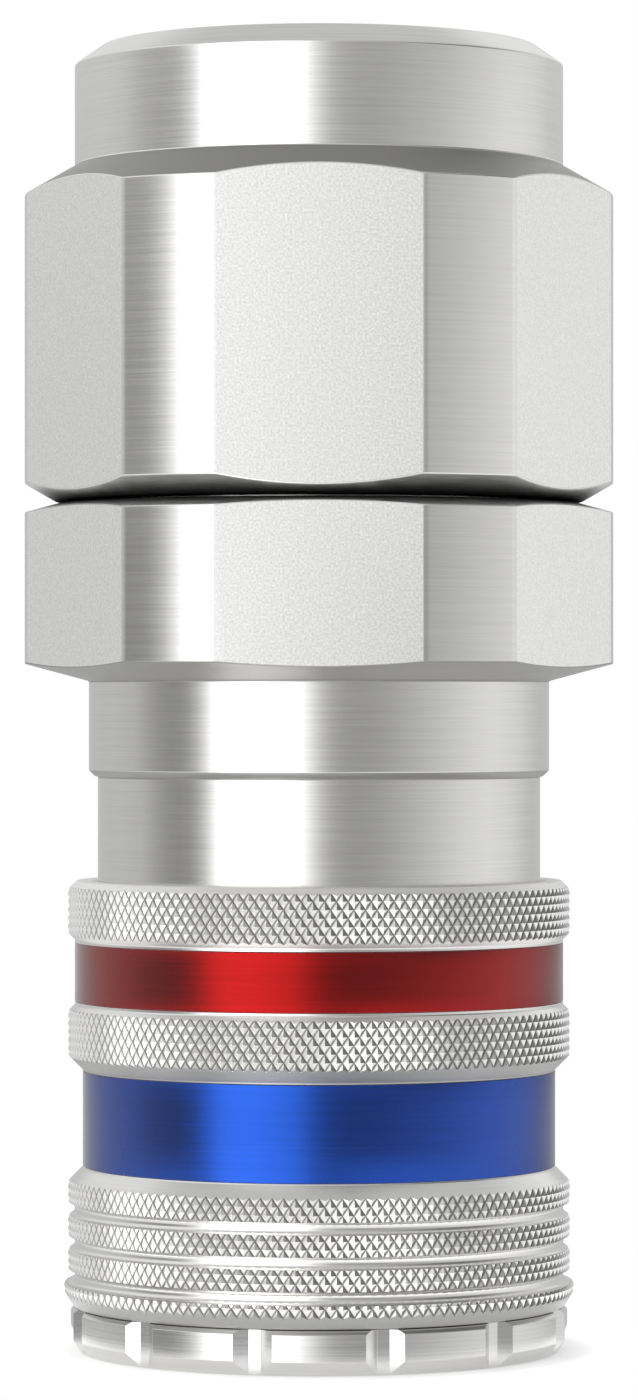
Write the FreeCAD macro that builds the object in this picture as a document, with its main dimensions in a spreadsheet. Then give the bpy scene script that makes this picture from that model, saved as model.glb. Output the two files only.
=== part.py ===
"""Pneumatic quick coupling with a ball lock and a hose-clamping nut.

Millimetres, +Z along the axis from the nipple's mouth to the hose. The origin is the centre of
the front ring's face, on which the coupling stands.
"""
import FreeCAD, Part
import math
import os

import Sketcher
from FreeCAD import Vector

# Driving dimensions: name, value, what it is
SIZES = [
    ("hex_flats", 32.0, "across flats of the nut and of the adapter's flange"),
    ("hex_sides", 6, "flats of both hexagons"),
    ("hex_corner_rise", 1.0, "turned corners of both hexagons, above the flats"),
    ("hex_face_inset", 0.8, "flat end faces of both hexagons, inset from the flats"),
    ("overcut", 1.0, "reach of a milled cut past the piece"),
    ("ring_height", 2.5, "front ring, height"),
    ("ring_step", 0.16, "front ring, set back from the sleeve's grip"),
    ("ring_foot_inset", 0.52, "front ring, lower chamfer across"),
    ("ring_foot_rise", 0.78, "front ring, lower chamfer up"),
    ("ring_top_chamfer", 0.25, "front ring, upper chamfer"),
    ("ring_thread_step", 0.4, "front ring's thread, set in from the valve body's outside"),
    ("notch_count", 12, "scallops round the front ring"),
    ("notch_cutter", 2.76, "diameter of the scallops' cutter"),
    ("notch_depth", 0.67, "depth of a scallop"),
    ("nose_recess", 0.3, "valve body's nose, set back from the front ring's face"),
    ("socket_entry_step", 0.1, "entry bore that guides the nipple in, wider than the socket"),
    ("socket_entry_depth", 5.5, "height of the entry bore's inner end"),
    ("socket_taper", 0.7, "length of the taper between entry bore and socket"),
    ("socket_chamfer", 0.85, "lead-in of the socket"),
    ("socket_bore", 12.1, "socket round the nipple's collar"),
    ("socket_depth", 13.0, "height of the socket's inner end"),
    ("seal_bore", 9.8, "bore round the nipple's nose"),
    ("seal_groove_depth", 1.4, "groove of the nipple's seal, depth"),
    ("seal_cord", 2.0, "nipple's seal, cord"),
    ("seal_groove_inset", 2.0, "seal groove, distance above the socket's inner end"),
    ("seal_groove_width", 2.2, "seal groove, width"),
    ("seat_inset", 1.2, "valve seat's lower edge, distance above the seal groove"),
    ("seat_width", 2.0, "valve seat, from the seal's bore out to the valve chamber"),
    ("ball_count", 8, "locking balls"),
    ("ball_diameter", 3.5, "locking ball"),
    ("ball_height", 8.7, "height of the balls' plane"),
    ("ball_hold", 0.95, "how far a locked ball stands into the socket"),
    ("ball_clearance", 0.05, "how far a freed ball stands back from the socket"),
    ("ball_play", 0.05, "clearance round a ball in its pocket"),
    ("ball_ramp_play", 0.03, "clearance between a ball and the sleeve's ramp"),
    ("sleeve_travel", 5.5, "sleeve's travel towards the hose"),
    ("sleeve_seat_gap", 0.1, "gap between the front ring and the sleeve"),
    ("sleeve_play", 0.07, "radial clearance of the sleeve on both its guides"),
    ("sleeve_stroke_spare", 0.3, "room left at the end of the sleeve's travel"),
    ("sleeve_land", 2.2, "sleeve's land above the balls"),
    ("sleeve_lead_in", 0.3, "chamfer at the top of the sleeve's bore"),
    ("grip_wall", 1.65, "sleeve's wall at its knurls"),
    ("foot_rib_rise", 0.22, "lowest rib, above the knurls"),
    ("foot_edge_inset", 0.55, "lowest rib, how far its sloping edge runs in"),
    ("foot_edge_rise", 0.85, "height of the lowest rib's sloping edge"),
    ("foot_rib_height", 1.34, "lowest rib, height"),
    ("rib_count", 3, "ribs above the lowest one"),
    ("rib_width", 1.15, "width of those ribs"),
    ("rib_groove", 0.78, "width of the round grooves between ribs"),
    ("blue_wall", 0.8, "sleeve's wall at the blue band"),
    ("blue_length", 5.62, "land of the blue band"),
    ("blue_margin", 0.08, "bare strip beside the blue band"),
    ("red_wall", 1.26, "sleeve's wall at the red band"),
    ("red_length", 3.76, "land of the red band"),
    ("red_margin", 0.2, "bare strip beside the red band"),
    ("band_thickness", 0.15, "coloured bands, thickness"),
    ("band_play", 0.01, "clearance round a coloured band"),
    ("knurl_length", 2.5, "each knurled band"),
    ("sleeve_top_chamfer", 0.5, "sleeve's upper edge"),
    ("spring_room_gap", 1.1, "room round the sleeve's spring"),
    ("sleeve_wire", 1.2, "sleeve spring, wire"),
    ("sleeve_spring_gap", 1.0, "sleeve spring, gap round the valve body"),
    ("sleeve_coils", 2, "sleeve spring, free coils"),
    ("guide_diameter", 25.56, "adapter, where the sleeve's bore runs on it"),
    ("guide_overlap", 1.9, "length of the guide inside the sleeve"),
    ("guide_bare", 6.0, "bare length of the guide above the sleeve"),
    ("guide_lead_in", 0.3, "chamfer at the guide's lower edge"),
    ("shoulder_step", 0.52, "adapter above the guide, wider than the guide"),
    ("shoulder_length", 5.5, "length of that part"),
    ("shoulder_chamfer", 0.36, "its lower chamfer"),
    ("flange_height", 10.2, "adapter's hexagonal flange"),
    ("flange_slope", 15, "slope of the flange's two faces, in degrees"),
    ("body_thread_step", 0.7, "thread between valve body and adapter, above the body's outside"),
    ("body_thread_length", 4.3, "length of that thread"),
    ("body_pilot_step", 0.4, "valve body's pilot in the adapter, above the body's outside"),
    ("body_pilot_length", 3.5, "length of the pilot"),
    ("pilot_play", 0.05, "radial clearance of the pilot"),
    ("pilot_groove_depth", 1.0, "groove of the seal between valve body and adapter, depth"),
    ("pilot_groove_width", 1.4, "that groove, width"),
    ("pilot_groove_inset", 0.8, "that groove, distance above the thread"),
    ("seal_play", 0.02, "clearance round the seals"),
    ("guide_rim", 1.2, "valve guide, thickness of its rim"),
    ("guide_hub_height", 3.0, "valve guide, height of the hub"),
    ("guide_hole", 3.5, "valve guide, air holes"),
    ("guide_hole_count", 6, "number of those holes"),
    ("guide_hole_margin", 0.2, "those holes, distance from the valve chamber's wall"),
    ("guide_seat_step", 0.6, "adapter's bore above the valve guide, wider than the chamber"),
    ("tail_wall", 0.95, "hose tail's wall at its end, round the air way"),
    ("stem_diameter", 3.2, "valve stem"),
    ("stem_play", 0.08, "radial clearance of the stem in its guide"),
    ("stem_length", 14.4, "valve stem"),
    ("stem_chamfer", 0.4, "valve stem's end"),
    ("poppet_tube_gap", 0.9, "valve's front tube, gap round it in the seal's bore"),
    ("poppet_wall", 1.2, "its wall"),
    ("poppet_reach", 4.8, "length of the tube below the seat's lower edge"),
    ("poppet_floor", 0.4, "solid part of the tube below that edge"),
    ("window_count", 4, "air windows in the tube"),
    ("window_width", 3.4, "air window"),
    ("window_height", 2.6, "air window"),
    ("poppet_lip_gap", 0.2, "lip below the valve's seal, gap round it in the seal's bore"),
    ("poppet_lip_height", 0.5, "that lip, height"),
    ("poppet_neck_inset", 0.5, "neck inside the valve's seal, inset from the seal's bore"),
    ("poppet_head_gap", 1.0, "valve's head, gap round it in the chamber"),
    ("poppet_head_height", 1.5, "valve's head, height"),
    ("valve_cord", 1.5, "valve's seal, cord"),
    ("valve_seat_play", 0.03, "gap between the valve's seal and its seat"),
    ("valve_wire", 0.8, "valve spring, wire"),
    ("valve_spring_gap", 0.6, "valve spring, gap round the stem"),
    ("valve_coils", 4, "valve spring, free coils"),
    ("spring_play", 0.02, "gap at each end of a spring"),
    ("end_coil_pitch", 1.1, "pitch of a spring's end coils, in wire diameters"),
    ("thread_diameter", 25.0, "hose nut's thread, over the crests"),
    ("thread_depth", 0.5, "hose nut's thread, depth"),
    ("thread_play", 0.05, "radial clearance of that thread"),
    ("thread_length", 9.1, "threaded neck of the adapter"),
    ("thread_chamfer", 0.5, "chamfer at the neck's end and at the nut's mouth"),
    ("nut_gap", 0.15, "gap between the flange and the tightened nut"),
    ("nut_slope", 30, "slope of the nut's two faces, in degrees"),
    ("nut_height", 19.32, "nut from its lower face to the collar"),
    ("nut_thread_depth", 10.6, "depth of the nut's threaded bore"),
    ("collar_inset", 1.89, "nut's collar, inset from the flats"),
    ("collar_height", 6.93, "nut's collar, height"),
    ("collar_edge_inset", 1.56, "collar's upper edge, across"),
    ("collar_edge_rise", 1.1, "collar's upper edge, up"),
    ("hose_outside", 18.0, "hose, outside"),
    ("hose_inside", 13.0, "hose, inside"),
    ("hose_play", 0.3, "radial clearance of the hose in the nut's mouth"),
    ("hose_entry_depth", 8.2, "depth of that mouth"),
    ("hose_entry_chamfer", 0.8, "lead-in of that mouth"),
    ("clamp_bore_play", 0.05, "radial clearance of the hose in the loose clamping ring"),
    ("clamp_inset", 0.95, "clamping ring, inset from the nut's thread"),
    ("clamp_lift", 0.5, "gap between the neck's end and the clamping ring"),
    ("clamp_tip", 0.7, "wall of the clamping ring at its thin end"),
    ("clamp_play", 0.08, "radial clearance between the clamping ring and the nut"),
    ("clamp_slit", 1.6, "slit of the clamping ring"),
    ("tooth_count", 4, "grooves inside the clamping ring, which leave teeth between them"),
    ("tooth_pitch", 1.4, "pitch of those grooves"),
    ("tooth_width", 1.0, "width of those grooves"),
    ("tooth_depth", 0.4, "depth of those grooves"),
    ("tail_crest_rise", 0.25, "hose tail's barbs, above the hose's inside"),
    ("tail_root_inset", 0.3, "hose tail between its barbs, below the hose's inside"),
    ("tail_base", 0.7, "plain foot of the hose tail"),
    ("barb_count", 3, "barbs"),
    ("barb_pitch", 2.6, "barbs' pitch"),
    ("barb_land", 0.4, "flat crest of a barb"),
    ("tail_tip_inset", 0.8, "hose tail at its end, below the hose's inside"),
    ("tail_tip_length", 2.3, "tapered end of the hose tail"),
]

document = FreeCAD.newDocument("quick_coupling")
sizes = document.addObject("Spreadsheet::Sheet", "sizes")
for row, (alias, value, note) in enumerate(SIZES, start=1):
    sizes.set(f"A{row}", note)
    sizes.set(f"B{row}", str(value))
    sizes.setAlias(f"B{row}", alias)
document.recompute()

nodes = []


def size(name):
    """Expression for a dimension of the sheet."""
    return f"sizes.{name}"


def half(name):
    """Expression for the radius of a diameter in the sheet."""
    return f"(sizes.{name} / 2)"


def total(*terms):
    """Expression for a sum of expressions or names of dimensions."""
    return "(" + " + ".join(size(term) if term.isidentifier() else term for term in terms) + ")"


def less(first, *others):
    """Expression for the first term less the others."""
    return f"({total(first)} - {total(*others)})"


def measure(expression):
    """Present value of an expression, in millimetres or degrees."""
    return float(sizes.evalExpression(expression))


def new_node(label):
    """An empty body whose label names its file."""
    body = document.addObject("PartDesign::Body", label)
    body.Label = label
    nodes.append(body)
    return body


def origin_plane(body, role):
    return next(item for item in body.Origin.OriginFeatures if item.Role == role)


def new_sketch(body, name, role):
    sketch = body.newObject("Sketcher::SketchObject", f"{body.Name}_{name}")
    sketch.AttachmentSupport = [(origin_plane(body, role), "")]
    sketch.MapMode = "FlatFace"
    return sketch


def bind(sketch, expression, *constraint):
    """Add a measured constraint whose value follows an expression."""
    index = sketch.addConstraint(Sketcher.Constraint(*constraint, measure(expression)))
    sketch.setExpression(f"Constraints[{index}]", expression)


def pin(sketch, geometry, end, across, up):
    """Fix a point of a sketch at two expressions; "0" puts it on the sketch's own axis."""
    for kind, axis, expression in (("DistanceX", -2, across), ("DistanceY", -1, up)):
        if expression == "0":
            sketch.addConstraint(Sketcher.Constraint("PointOnObject", geometry, end, axis))
        else:
            bind(sketch, expression, kind, -1, 1, geometry, end)


def outline(sketch, corners):
    """Closed outline with straight sides through corners given as pairs of expressions."""
    places = [Vector(measure(across), measure(up), 0) for across, up in corners]
    count = len(places)
    for index, place in enumerate(places):
        sketch.addGeometry(Part.LineSegment(place, places[(index + 1) % count]), False)
    for index, (across, up) in enumerate(corners):
        sketch.addConstraint(Sketcher.Constraint("Coincident", index, 2, (index + 1) % count, 1))
        pin(sketch, index, 1, across, up)


def disc(sketch, across, up, radius):
    """A circle whose centre and radius follow expressions."""
    centre = Vector(measure(across), measure(up), 0)
    circle = sketch.addGeometry(Part.Circle(centre, Vector(0, 0, 1), measure(radius)), False)
    pin(sketch, circle, 3, across, up)
    bind(sketch, radius, "Radius", circle)


def centred_box(sketch, width, low, high):
    """Rectangle from one height to another, centred on the sketch's vertical axis."""
    reach, foot, top = measure(width) / 2, measure(low), measure(high)
    corners = ((-reach, foot), (reach, foot), (reach, top), (-reach, top))
    places = [Vector(across, up, 0) for across, up in corners]
    for index in range(4):
        sketch.addGeometry(Part.LineSegment(places[index], places[(index + 1) % 4]), False)
    for index in range(4):
        sketch.addConstraint(Sketcher.Constraint("Coincident", index, 2, (index + 1) % 4, 1))
    for side, direction in ((1, "Vertical"), (2, "Horizontal"), (3, "Vertical")):
        sketch.addConstraint(Sketcher.Constraint(direction, side))
    sketch.addConstraint(Sketcher.Constraint("Symmetric", 0, 1, 0, 2, -2))
    bind(sketch, low, "DistanceY", -1, 1, 0, 2)
    bind(sketch, high, "DistanceY", -1, 1, 2, 1)
    bind(sketch, width, "DistanceX", 0, 1, 0, 2)


def turn(body, corners):
    """Turned blank: the outline of (radius, height) corners, revolved about the axis."""
    sketch = new_sketch(body, "profile", "XZ_Plane")
    outline(sketch, corners)
    revolution = body.newObject("PartDesign::Revolution", f"{body.Name}_turned")
    revolution.Profile = sketch
    revolution.ReferenceAxis = (sketch, ["V_Axis"])
    revolution.Angle = 360
    document.recompute()
    return revolution


def groove(body, sketch, axis):
    """Turned cut of a sketch about one of its axes."""
    cut = body.newObject("PartDesign::Groove", f"{sketch.Name}_cut")
    cut.Profile = sketch
    cut.ReferenceAxis = (sketch, [axis])
    cut.Angle = 360
    document.recompute()
    return cut


def pocket(body, sketch):
    """Milled cut of a sketch on the base plane, up through the whole piece."""
    cut = body.newObject("PartDesign::Pocket", f"{sketch.Name}_cut")
    cut.Profile = sketch
    cut.Type = "ThroughAll"
    cut.Reversed = True
    document.recompute()
    return cut


def around(body, cut, count, axis="N_Axis"):
    """Repeat a cut evenly about the coupling's axis, given as an axis of the cut's sketch."""
    pattern = body.newObject("PartDesign::PolarPattern", f"{cut.Name}_around")
    pattern.Originals = [cut]
    pattern.Axis = (cut.Profile[0], [axis])
    pattern.Angle = 360
    pattern.setExpression("Occurrences", count)
    body.Tip = pattern
    document.recompute()
    return pattern


def mill_hexagon(body):
    """Six flats on a turned blank, one of them facing -Y."""
    sketch = new_sketch(body, "flat", "XY_Plane")
    centred_box(sketch, f"2 * {hex_corner}", half("hex_flats"), total(hex_corner, "overcut"))
    around(body, pocket(body, sketch), size("hex_sides"))


def ring_seal(label, mean_radius, height, cord_radius):
    """O-ring."""
    ring = document.addObject("Part::Torus", label)
    ring.Label = label
    ring.setExpression("Radius1", mean_radius)
    ring.setExpression("Radius2", cord_radius)
    ring.setExpression("Placement.Base.z", height)
    nodes.append(ring)


def coil_spring(label, mean_radius, wire, foot, top, coils):
    """Compression spring of round wire: free coils between two closed, ground end coils."""
    body = document.addObject("PartDesign::Body", f"{label}_wire")
    end_rise = f"({wire} * sizes.end_coil_pitch)"
    free_rise = less(top, foot, end_rise, end_rise)
    stretches = [
        ("lower", foot, end_rise, "1"),
        ("free", total(foot, end_rise), free_rise, coils),
        ("upper", less(top, end_rise), end_rise, "1"),
    ]
    for name, start, rise, turns in stretches:
        sketch = new_sketch(body, name, "XZ_Plane")
        disc(sketch, mean_radius, start, f"({wire} / 2)")
        helix = body.newObject("PartDesign::AdditiveHelix", f"{sketch.Name}_coil")
        helix.Profile = sketch
        helix.ReferenceAxis = (sketch, ["V_Axis"])
        helix.Mode = "height-turns-angle"
        helix.setExpression("Height", rise)
        helix.setExpression("Turns", turns)
        document.recompute()
    slab = document.addObject("Part::Cylinder", f"{label}_length")
    slab.setExpression("Radius", total(mean_radius, wire))
    slab.setExpression("Height", less(top, foot))
    slab.setExpression("Placement.Base.z", foot)
    ground = document.addObject("Part::Common", label)
    ground.Label = label
    ground.Base = body
    ground.Tool = slab
    nodes.append(ground)
    document.recompute()


# Radii that more than one piece takes its size from
hex_corner = total(half("hex_flats"), "hex_corner_rise")
hex_face = less(half("hex_flats"), "hex_face_inset")
socket_wall = half("socket_bore")
socket_mouth = total(socket_wall, "socket_entry_step")
body_wall = total(less(socket_wall, "ball_hold"), "ball_diameter")
ball_circle = less(body_wall, half("ball_diameter"))
ball_travel = total("ball_hold", "ball_clearance")
ring_thread = less(body_wall, "ring_thread_step")
body_thread = total(body_wall, "body_thread_step")
body_pilot = total(body_wall, "body_pilot_step")
pilot_bore = total(body_pilot, "pilot_play")
pilot_groove = less(body_pilot, "pilot_groove_depth")
nose_bore = half("seal_bore")
seal_groove = total(nose_bore, "seal_groove_depth")
chamber = total(nose_bore, "seat_width")
poppet_neck = less(nose_bore, "poppet_neck_inset")
valve_coil = total(half("stem_diameter"), "valve_spring_gap", half("valve_wire"))
sleeve_coil = total(body_wall, "sleeve_spring_gap", half("sleeve_wire"))
spring_room = total(sleeve_coil, half("sleeve_wire"), "spring_room_gap")
guide = half("guide_diameter")
sleeve_bore = total(guide, "sleeve_play")
grip = total(sleeve_bore, "grip_wall")
blue_face = total(sleeve_bore, "blue_wall")
red_face = total(sleeve_bore, "red_wall")
thread_bore = total(half("thread_diameter"), "thread_play")
hose_mouth = total(half("hose_outside"), "hose_play")
tail_crest = total(half("hose_inside"), "tail_crest_rise")
tail_root = less(half("hose_inside"), "tail_root_inset")

# Heights along the axis, from the front ring's face
seal_groove_foot = total("socket_depth", "seal_groove_inset")
seal_groove_end = total(seal_groove_foot, "seal_groove_width")
seat_height = total(seal_groove_end, "seat_inset")
sleeve_foot = total("ring_height", "sleeve_seat_gap")
grips_start = total(sleeve_foot, "foot_rib_height")
rib_pitch = total("rib_groove", "rib_width")
grips_top = total(grips_start, f"sizes.rib_count * {rib_pitch}")
blue_cone = less(grip, blue_face)
blue_start = total(grips_top, blue_cone)
blue_end = total(blue_start, "blue_length")
lower_knurl_start = total(blue_end, blue_cone)
lower_knurl_end = total(lower_knurl_start, "knurl_length")
red_cone = less(grip, red_face)
red_start = total(lower_knurl_end, red_cone)
red_end = total(red_start, "red_length")
upper_knurl_start = total(red_end, red_cone)
upper_knurl_end = total(upper_knurl_start, "knurl_length")
sleeve_top = total(upper_knurl_end, "sleeve_top_chamfer")
adapter_foot = less(sleeve_top, "guide_overlap")
thread_end = total(adapter_foot, "body_thread_length")
body_top = total(thread_end, "body_pilot_length")
guide_top = total(body_top, "guide_rim")
step_height = total(sleeve_top, "guide_bare")
flange_foot = total(step_height, "shoulder_length")
flange_top = total(flange_foot, "flange_height")
neck_end = total(flange_top, "thread_length")
nut_foot = total(flange_top, "nut_gap")
collar_foot = total(nut_foot, "nut_height")
nut_top = total(collar_foot, "collar_height")
hose_floor = less(nut_top, "hose_entry_depth")
nut_thread_end = total(nut_foot, "nut_thread_depth")


# Front ring, screwed on the valve body's nose
def front_ring():
    body = new_node("front_ring")
    outer = less(grip, "ring_step")
    turn(body, [
        (ring_thread, "0"),
        (less(outer, "ring_foot_inset"), "0"),
        (outer, size("ring_foot_rise")),
        (outer, less("ring_height", "ring_top_chamfer")),
        (less(outer, "ring_top_chamfer"), size("ring_height")),
        (ring_thread, size("ring_height")),
    ])
    sketch = new_sketch(body, "notch", "XY_Plane")
    centre = total(less(outer, "notch_depth"), half("notch_cutter"))
    disc(
        sketch,
        f"{centre} * cos(180 / sizes.notch_count)",
        f"{centre} * sin(180 / sizes.notch_count)",
        half("notch_cutter"),
    )
    around(body, pocket(body, sketch), size("notch_count"))


# Valve body: nipple socket, ball pockets, seal groove, valve seat and chamber
def valve_body():
    body = new_node("valve_body")
    socket_cone = less(socket_wall, nose_bore)
    pilot_groove_foot = total(thread_end, "pilot_groove_inset")
    pilot_groove_end = total(pilot_groove_foot, "pilot_groove_width")
    turn(body, [
        (total(socket_mouth, "socket_chamfer"), size("nose_recess")),
        (ring_thread, size("nose_recess")),
        (ring_thread, size("ring_height")),
        (body_wall, size("ring_height")),
        (body_wall, adapter_foot),
        (body_thread, adapter_foot),
        (body_thread, thread_end),
        (body_pilot, thread_end),
        (body_pilot, pilot_groove_foot),
        (pilot_groove, pilot_groove_foot),
        (pilot_groove, pilot_groove_end),
        (body_pilot, pilot_groove_end),
        (body_pilot, body_top),
        (chamber, body_top),
        (chamber, total(seat_height, "seat_width")),
        (nose_bore, seat_height),
        (nose_bore, seal_groove_end),
        (seal_groove, seal_groove_end),
        (seal_groove, seal_groove_foot),
        (nose_bore, seal_groove_foot),
        (nose_bore, total("socket_depth", socket_cone)),
        (socket_wall, size("socket_depth")),
        (socket_wall, total("socket_entry_depth", "socket_taper")),
        (socket_mouth, size("socket_entry_depth")),
        (socket_mouth, total("nose_recess", "socket_chamfer")),
    ])
    around(body, groove(body, ball_pocket(body), "Axis0"), size("ball_count"), "V_Axis")


def ball_pocket(body):
    """Half section of a ball's pocket: a drilled hole whose inner end is the ball's round seat."""
    sketch = new_sketch(body, "ball_pocket", "XZ_Plane")
    radius = total(half("ball_diameter"), "ball_play")
    outside = total(body_wall, "ball_diameter")
    centre = Vector(measure(ball_circle), measure(size("ball_height")), 0)
    rise = Vector(0, measure(radius), 0)
    inner = Vector(centre.x - rise.y, centre.y, 0)
    outer = Vector(measure(outside), centre.y, 0)
    seat = Part.ArcOfCircle(Part.Circle(centre, Vector(0, 0, 1), rise.y), math.pi / 2, math.pi)
    sketch.addGeometry(seat, False)
    sketch.addGeometry(Part.LineSegment(centre + rise, outer + rise), False)
    sketch.addGeometry(Part.LineSegment(outer + rise, outer), False)
    sketch.addGeometry(Part.LineSegment(outer, inner), False)
    axis = sketch.addGeometry(Part.LineSegment(inner, outer), True)
    for constraint in (
        ("Tangent", 0, 1, 1, 1), ("Coincident", 1, 2, 2, 1), ("Coincident", 2, 2, 3, 1),
        ("Coincident", 3, 2, 0, 2), ("Horizontal", 1), ("Vertical", 2), ("Horizontal", 3),
        ("PointOnObject", 0, 3, 3), ("Coincident", axis, 1, 0, 2), ("Coincident", axis, 2, 2, 2),
    ):
        sketch.addConstraint(Sketcher.Constraint(*constraint))
    pin(sketch, 0, 3, ball_circle, size("ball_height"))
    bind(sketch, radius, "Radius", 0)
    bind(sketch, outside, "DistanceX", -1, 1, 2, 2)
    return sketch


# Locking balls, held in the socket by the sleeve's ramp
def lock_balls():
    for index in range(int(measure(size("ball_count")))):
        angle = f"({index} * 360 / sizes.ball_count)"
        ball = document.addObject("Part::Sphere", f"lock_ball_{index + 1}")
        ball.Label = ball.Name
        ball.setExpression("Radius", half("ball_diameter"))
        ball.setExpression("Placement.Base.x", f"{ball_circle} * cos({angle})")
        ball.setExpression("Placement.Base.y", f"{ball_circle} * sin({angle})")
        ball.setExpression("Placement.Base.z", size("ball_height"))
        nodes.append(ball)


# Locking sleeve: the ramp inside lets the balls out in step with the sleeve's travel
def locking_sleeve():
    body = new_node("locking_sleeve")
    slope = f"({ball_travel} / sizes.sleeve_travel)"
    secant = f"sqrt(1 + {slope} * {slope})"
    ramp_at_balls = total(ball_circle, f"{total(half('ball_diameter'), 'ball_ramp_play')} * {secant}")
    land = total(body_wall, "sleeve_play")
    ramp_foot = total(ramp_at_balls, f"{slope} * {less('ball_height', sleeve_foot)}")
    ramp_top = less("ball_height", f"{less(land, ramp_at_balls)} / {slope}")
    shoulder = total("ball_height", "sleeve_land")
    room_top = less(adapter_foot, "sleeve_travel", "sleeve_stroke_spare")
    groove_middle = total(grips_start, half("rib_groove"))
    foot_rib = total(grip, "foot_rib_rise")
    turn(body, [
        (ramp_foot, sleeve_foot),
        (less(foot_rib, "foot_edge_inset"), sleeve_foot),
        (foot_rib, total(sleeve_foot, "foot_edge_rise")),
        (foot_rib, groove_middle),
        (grip, groove_middle),
        (grip, grips_top),
        *band_recess(blue_face, "blue_margin", blue_start, blue_end),
        (grip, lower_knurl_start),
        (grip, lower_knurl_end),
        *band_recess(red_face, "red_margin", red_start, red_end),
        (grip, upper_knurl_start),
        (grip, upper_knurl_end),
        (less(grip, "sleeve_top_chamfer"), sleeve_top),
        (total(sleeve_bore, "sleeve_lead_in"), sleeve_top),
        (sleeve_bore, less(sleeve_top, "sleeve_lead_in")),
        (sleeve_bore, room_top),
        (spring_room, room_top),
        (spring_room, shoulder),
        (land, shoulder),
        (land, ramp_top),
    ])
    sketch = new_sketch(body, "rib", "XZ_Plane")
    disc(sketch, grip, groove_middle, half("rib_groove"))
    cut = groove(body, sketch, "V_Axis")
    pattern = body.newObject("PartDesign::LinearPattern", f"{body.Name}_ribs")
    pattern.Originals = [cut]
    pattern.Direction = (sketch, ["V_Axis"])
    pattern.setExpression("Length", f"(sizes.rib_count - 1) * {rib_pitch}")
    pattern.setExpression("Occurrences", size("rib_count"))
    body.Tip = pattern
    document.recompute()


def band_recess(face, margin, start, end):
    """Corners of a land and of the shallow recess in it that takes a coloured band."""
    floor = less(face, "band_thickness")
    return [
        (face, start),
        (face, total(start, margin)),
        (floor, total(start, margin)),
        (floor, less(end, margin)),
        (face, less(end, margin)),
        (face, end),
    ]


# Coloured bands, wrapped round the sleeve's lands and flush with them
def colour_band(label, face, margin, start, end):
    body = new_node(label)
    floor = total(less(face, "band_thickness"), "band_play")
    foot = total(start, margin, "band_play")
    top = less(end, margin, "band_play")
    turn(body, [(floor, foot), (face, foot), (face, top), (floor, top)])


# Adapter: sleeve guide, hexagonal flange, threaded neck and hose tail
def hose_adapter():
    body = new_node("hose_adapter")
    shoulder = total(guide, "shoulder_step")
    flange_cone = f"{less(hex_corner, shoulder)} * tan(sizes.flange_slope)"
    top_cone = f"{less(hex_corner, hex_face)} * tan(sizes.flange_slope)"
    neck = less(half("thread_diameter"), "thread_depth")
    guide_seat = total(chamber, "guide_seat_step")
    tail_tip = less(half("hose_inside"), "tail_tip_inset")
    flow_bore = less(tail_tip, "tail_wall")
    flow_cone = less(guide_seat, flow_bore)
    flow_start = total(guide_top, "guide_hub_height")
    tail_end = total(
        neck_end, "tail_base", "(sizes.barb_count - 1) * sizes.barb_pitch", "barb_land", "tail_tip_length",
    )
    turn(body, [
        (body_thread, adapter_foot),
        (less(guide, "guide_lead_in"), adapter_foot),
        (guide, total(adapter_foot, "guide_lead_in")),
        (guide, step_height),
        (less(shoulder, "shoulder_chamfer"), step_height),
        (shoulder, total(step_height, "shoulder_chamfer")),
        (shoulder, flange_foot),
        (hex_corner, total(flange_foot, flange_cone)),
        (hex_corner, less(flange_top, top_cone)),
        (hex_face, flange_top),
        (neck, flange_top),
        (neck, less(neck_end, "thread_chamfer")),
        (less(neck, "thread_chamfer"), neck_end),
        (tail_root, neck_end),
        *barbs(),
        (tail_tip, tail_end),
        (flow_bore, tail_end),
        (flow_bore, total(flow_start, flow_cone)),
        (guide_seat, flow_start),
        (guide_seat, guide_top),
        (pilot_bore, guide_top),
        (pilot_bore, thread_end),
        (body_thread, thread_end),
    ])
    mill_hexagon(body)


def barbs():
    """Saw-tooth rings of the hose tail: square towards the neck, sloping towards the tip."""
    corners = []
    for index in range(int(measure(size("barb_count")))):
        foot = total(neck_end, "tail_base", f"{index} * sizes.barb_pitch")
        corners.append((tail_root, foot))
        corners.append((tail_crest, foot))
        corners.append((tail_crest, total(foot, "barb_land")))
    return corners


# Valve guide, clamped between the valve body and the adapter
def valve_guide():
    body = new_node("valve_guide")
    bore = total(half("stem_diameter"), "stem_play")
    hub = total(valve_coil, half("valve_wire"))
    hub_top = total(body_top, "guide_hub_height")
    turn(body, [
        (bore, body_top),
        (body_pilot, body_top),
        (body_pilot, guide_top),
        (hub, guide_top),
        (hub, hub_top),
        (bore, hub_top),
    ])
    sketch = new_sketch(body, "air_hole", "XY_Plane")
    disc(sketch, less(chamber, "guide_hole_margin", half("guide_hole")), "0", half("guide_hole"))
    around(body, pocket(body, sketch), size("guide_hole_count"))


# Valve: the nipple pushes the front tube, and air passes through its windows. The seal lies
# on the seat's cone of 45 degrees.
valve_slant = f"{total(half('valve_cord'), 'valve_seat_play')} * sqrt(2)"
valve_ring = total(poppet_neck, half("valve_cord"))
valve_ring_height = total(seat_height, less(valve_ring, nose_bore), valve_slant)
head_foot = total(valve_ring_height, half("valve_cord"))
head_top = total(head_foot, "poppet_head_height")
tube_floor = less(seat_height, "poppet_floor")


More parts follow.
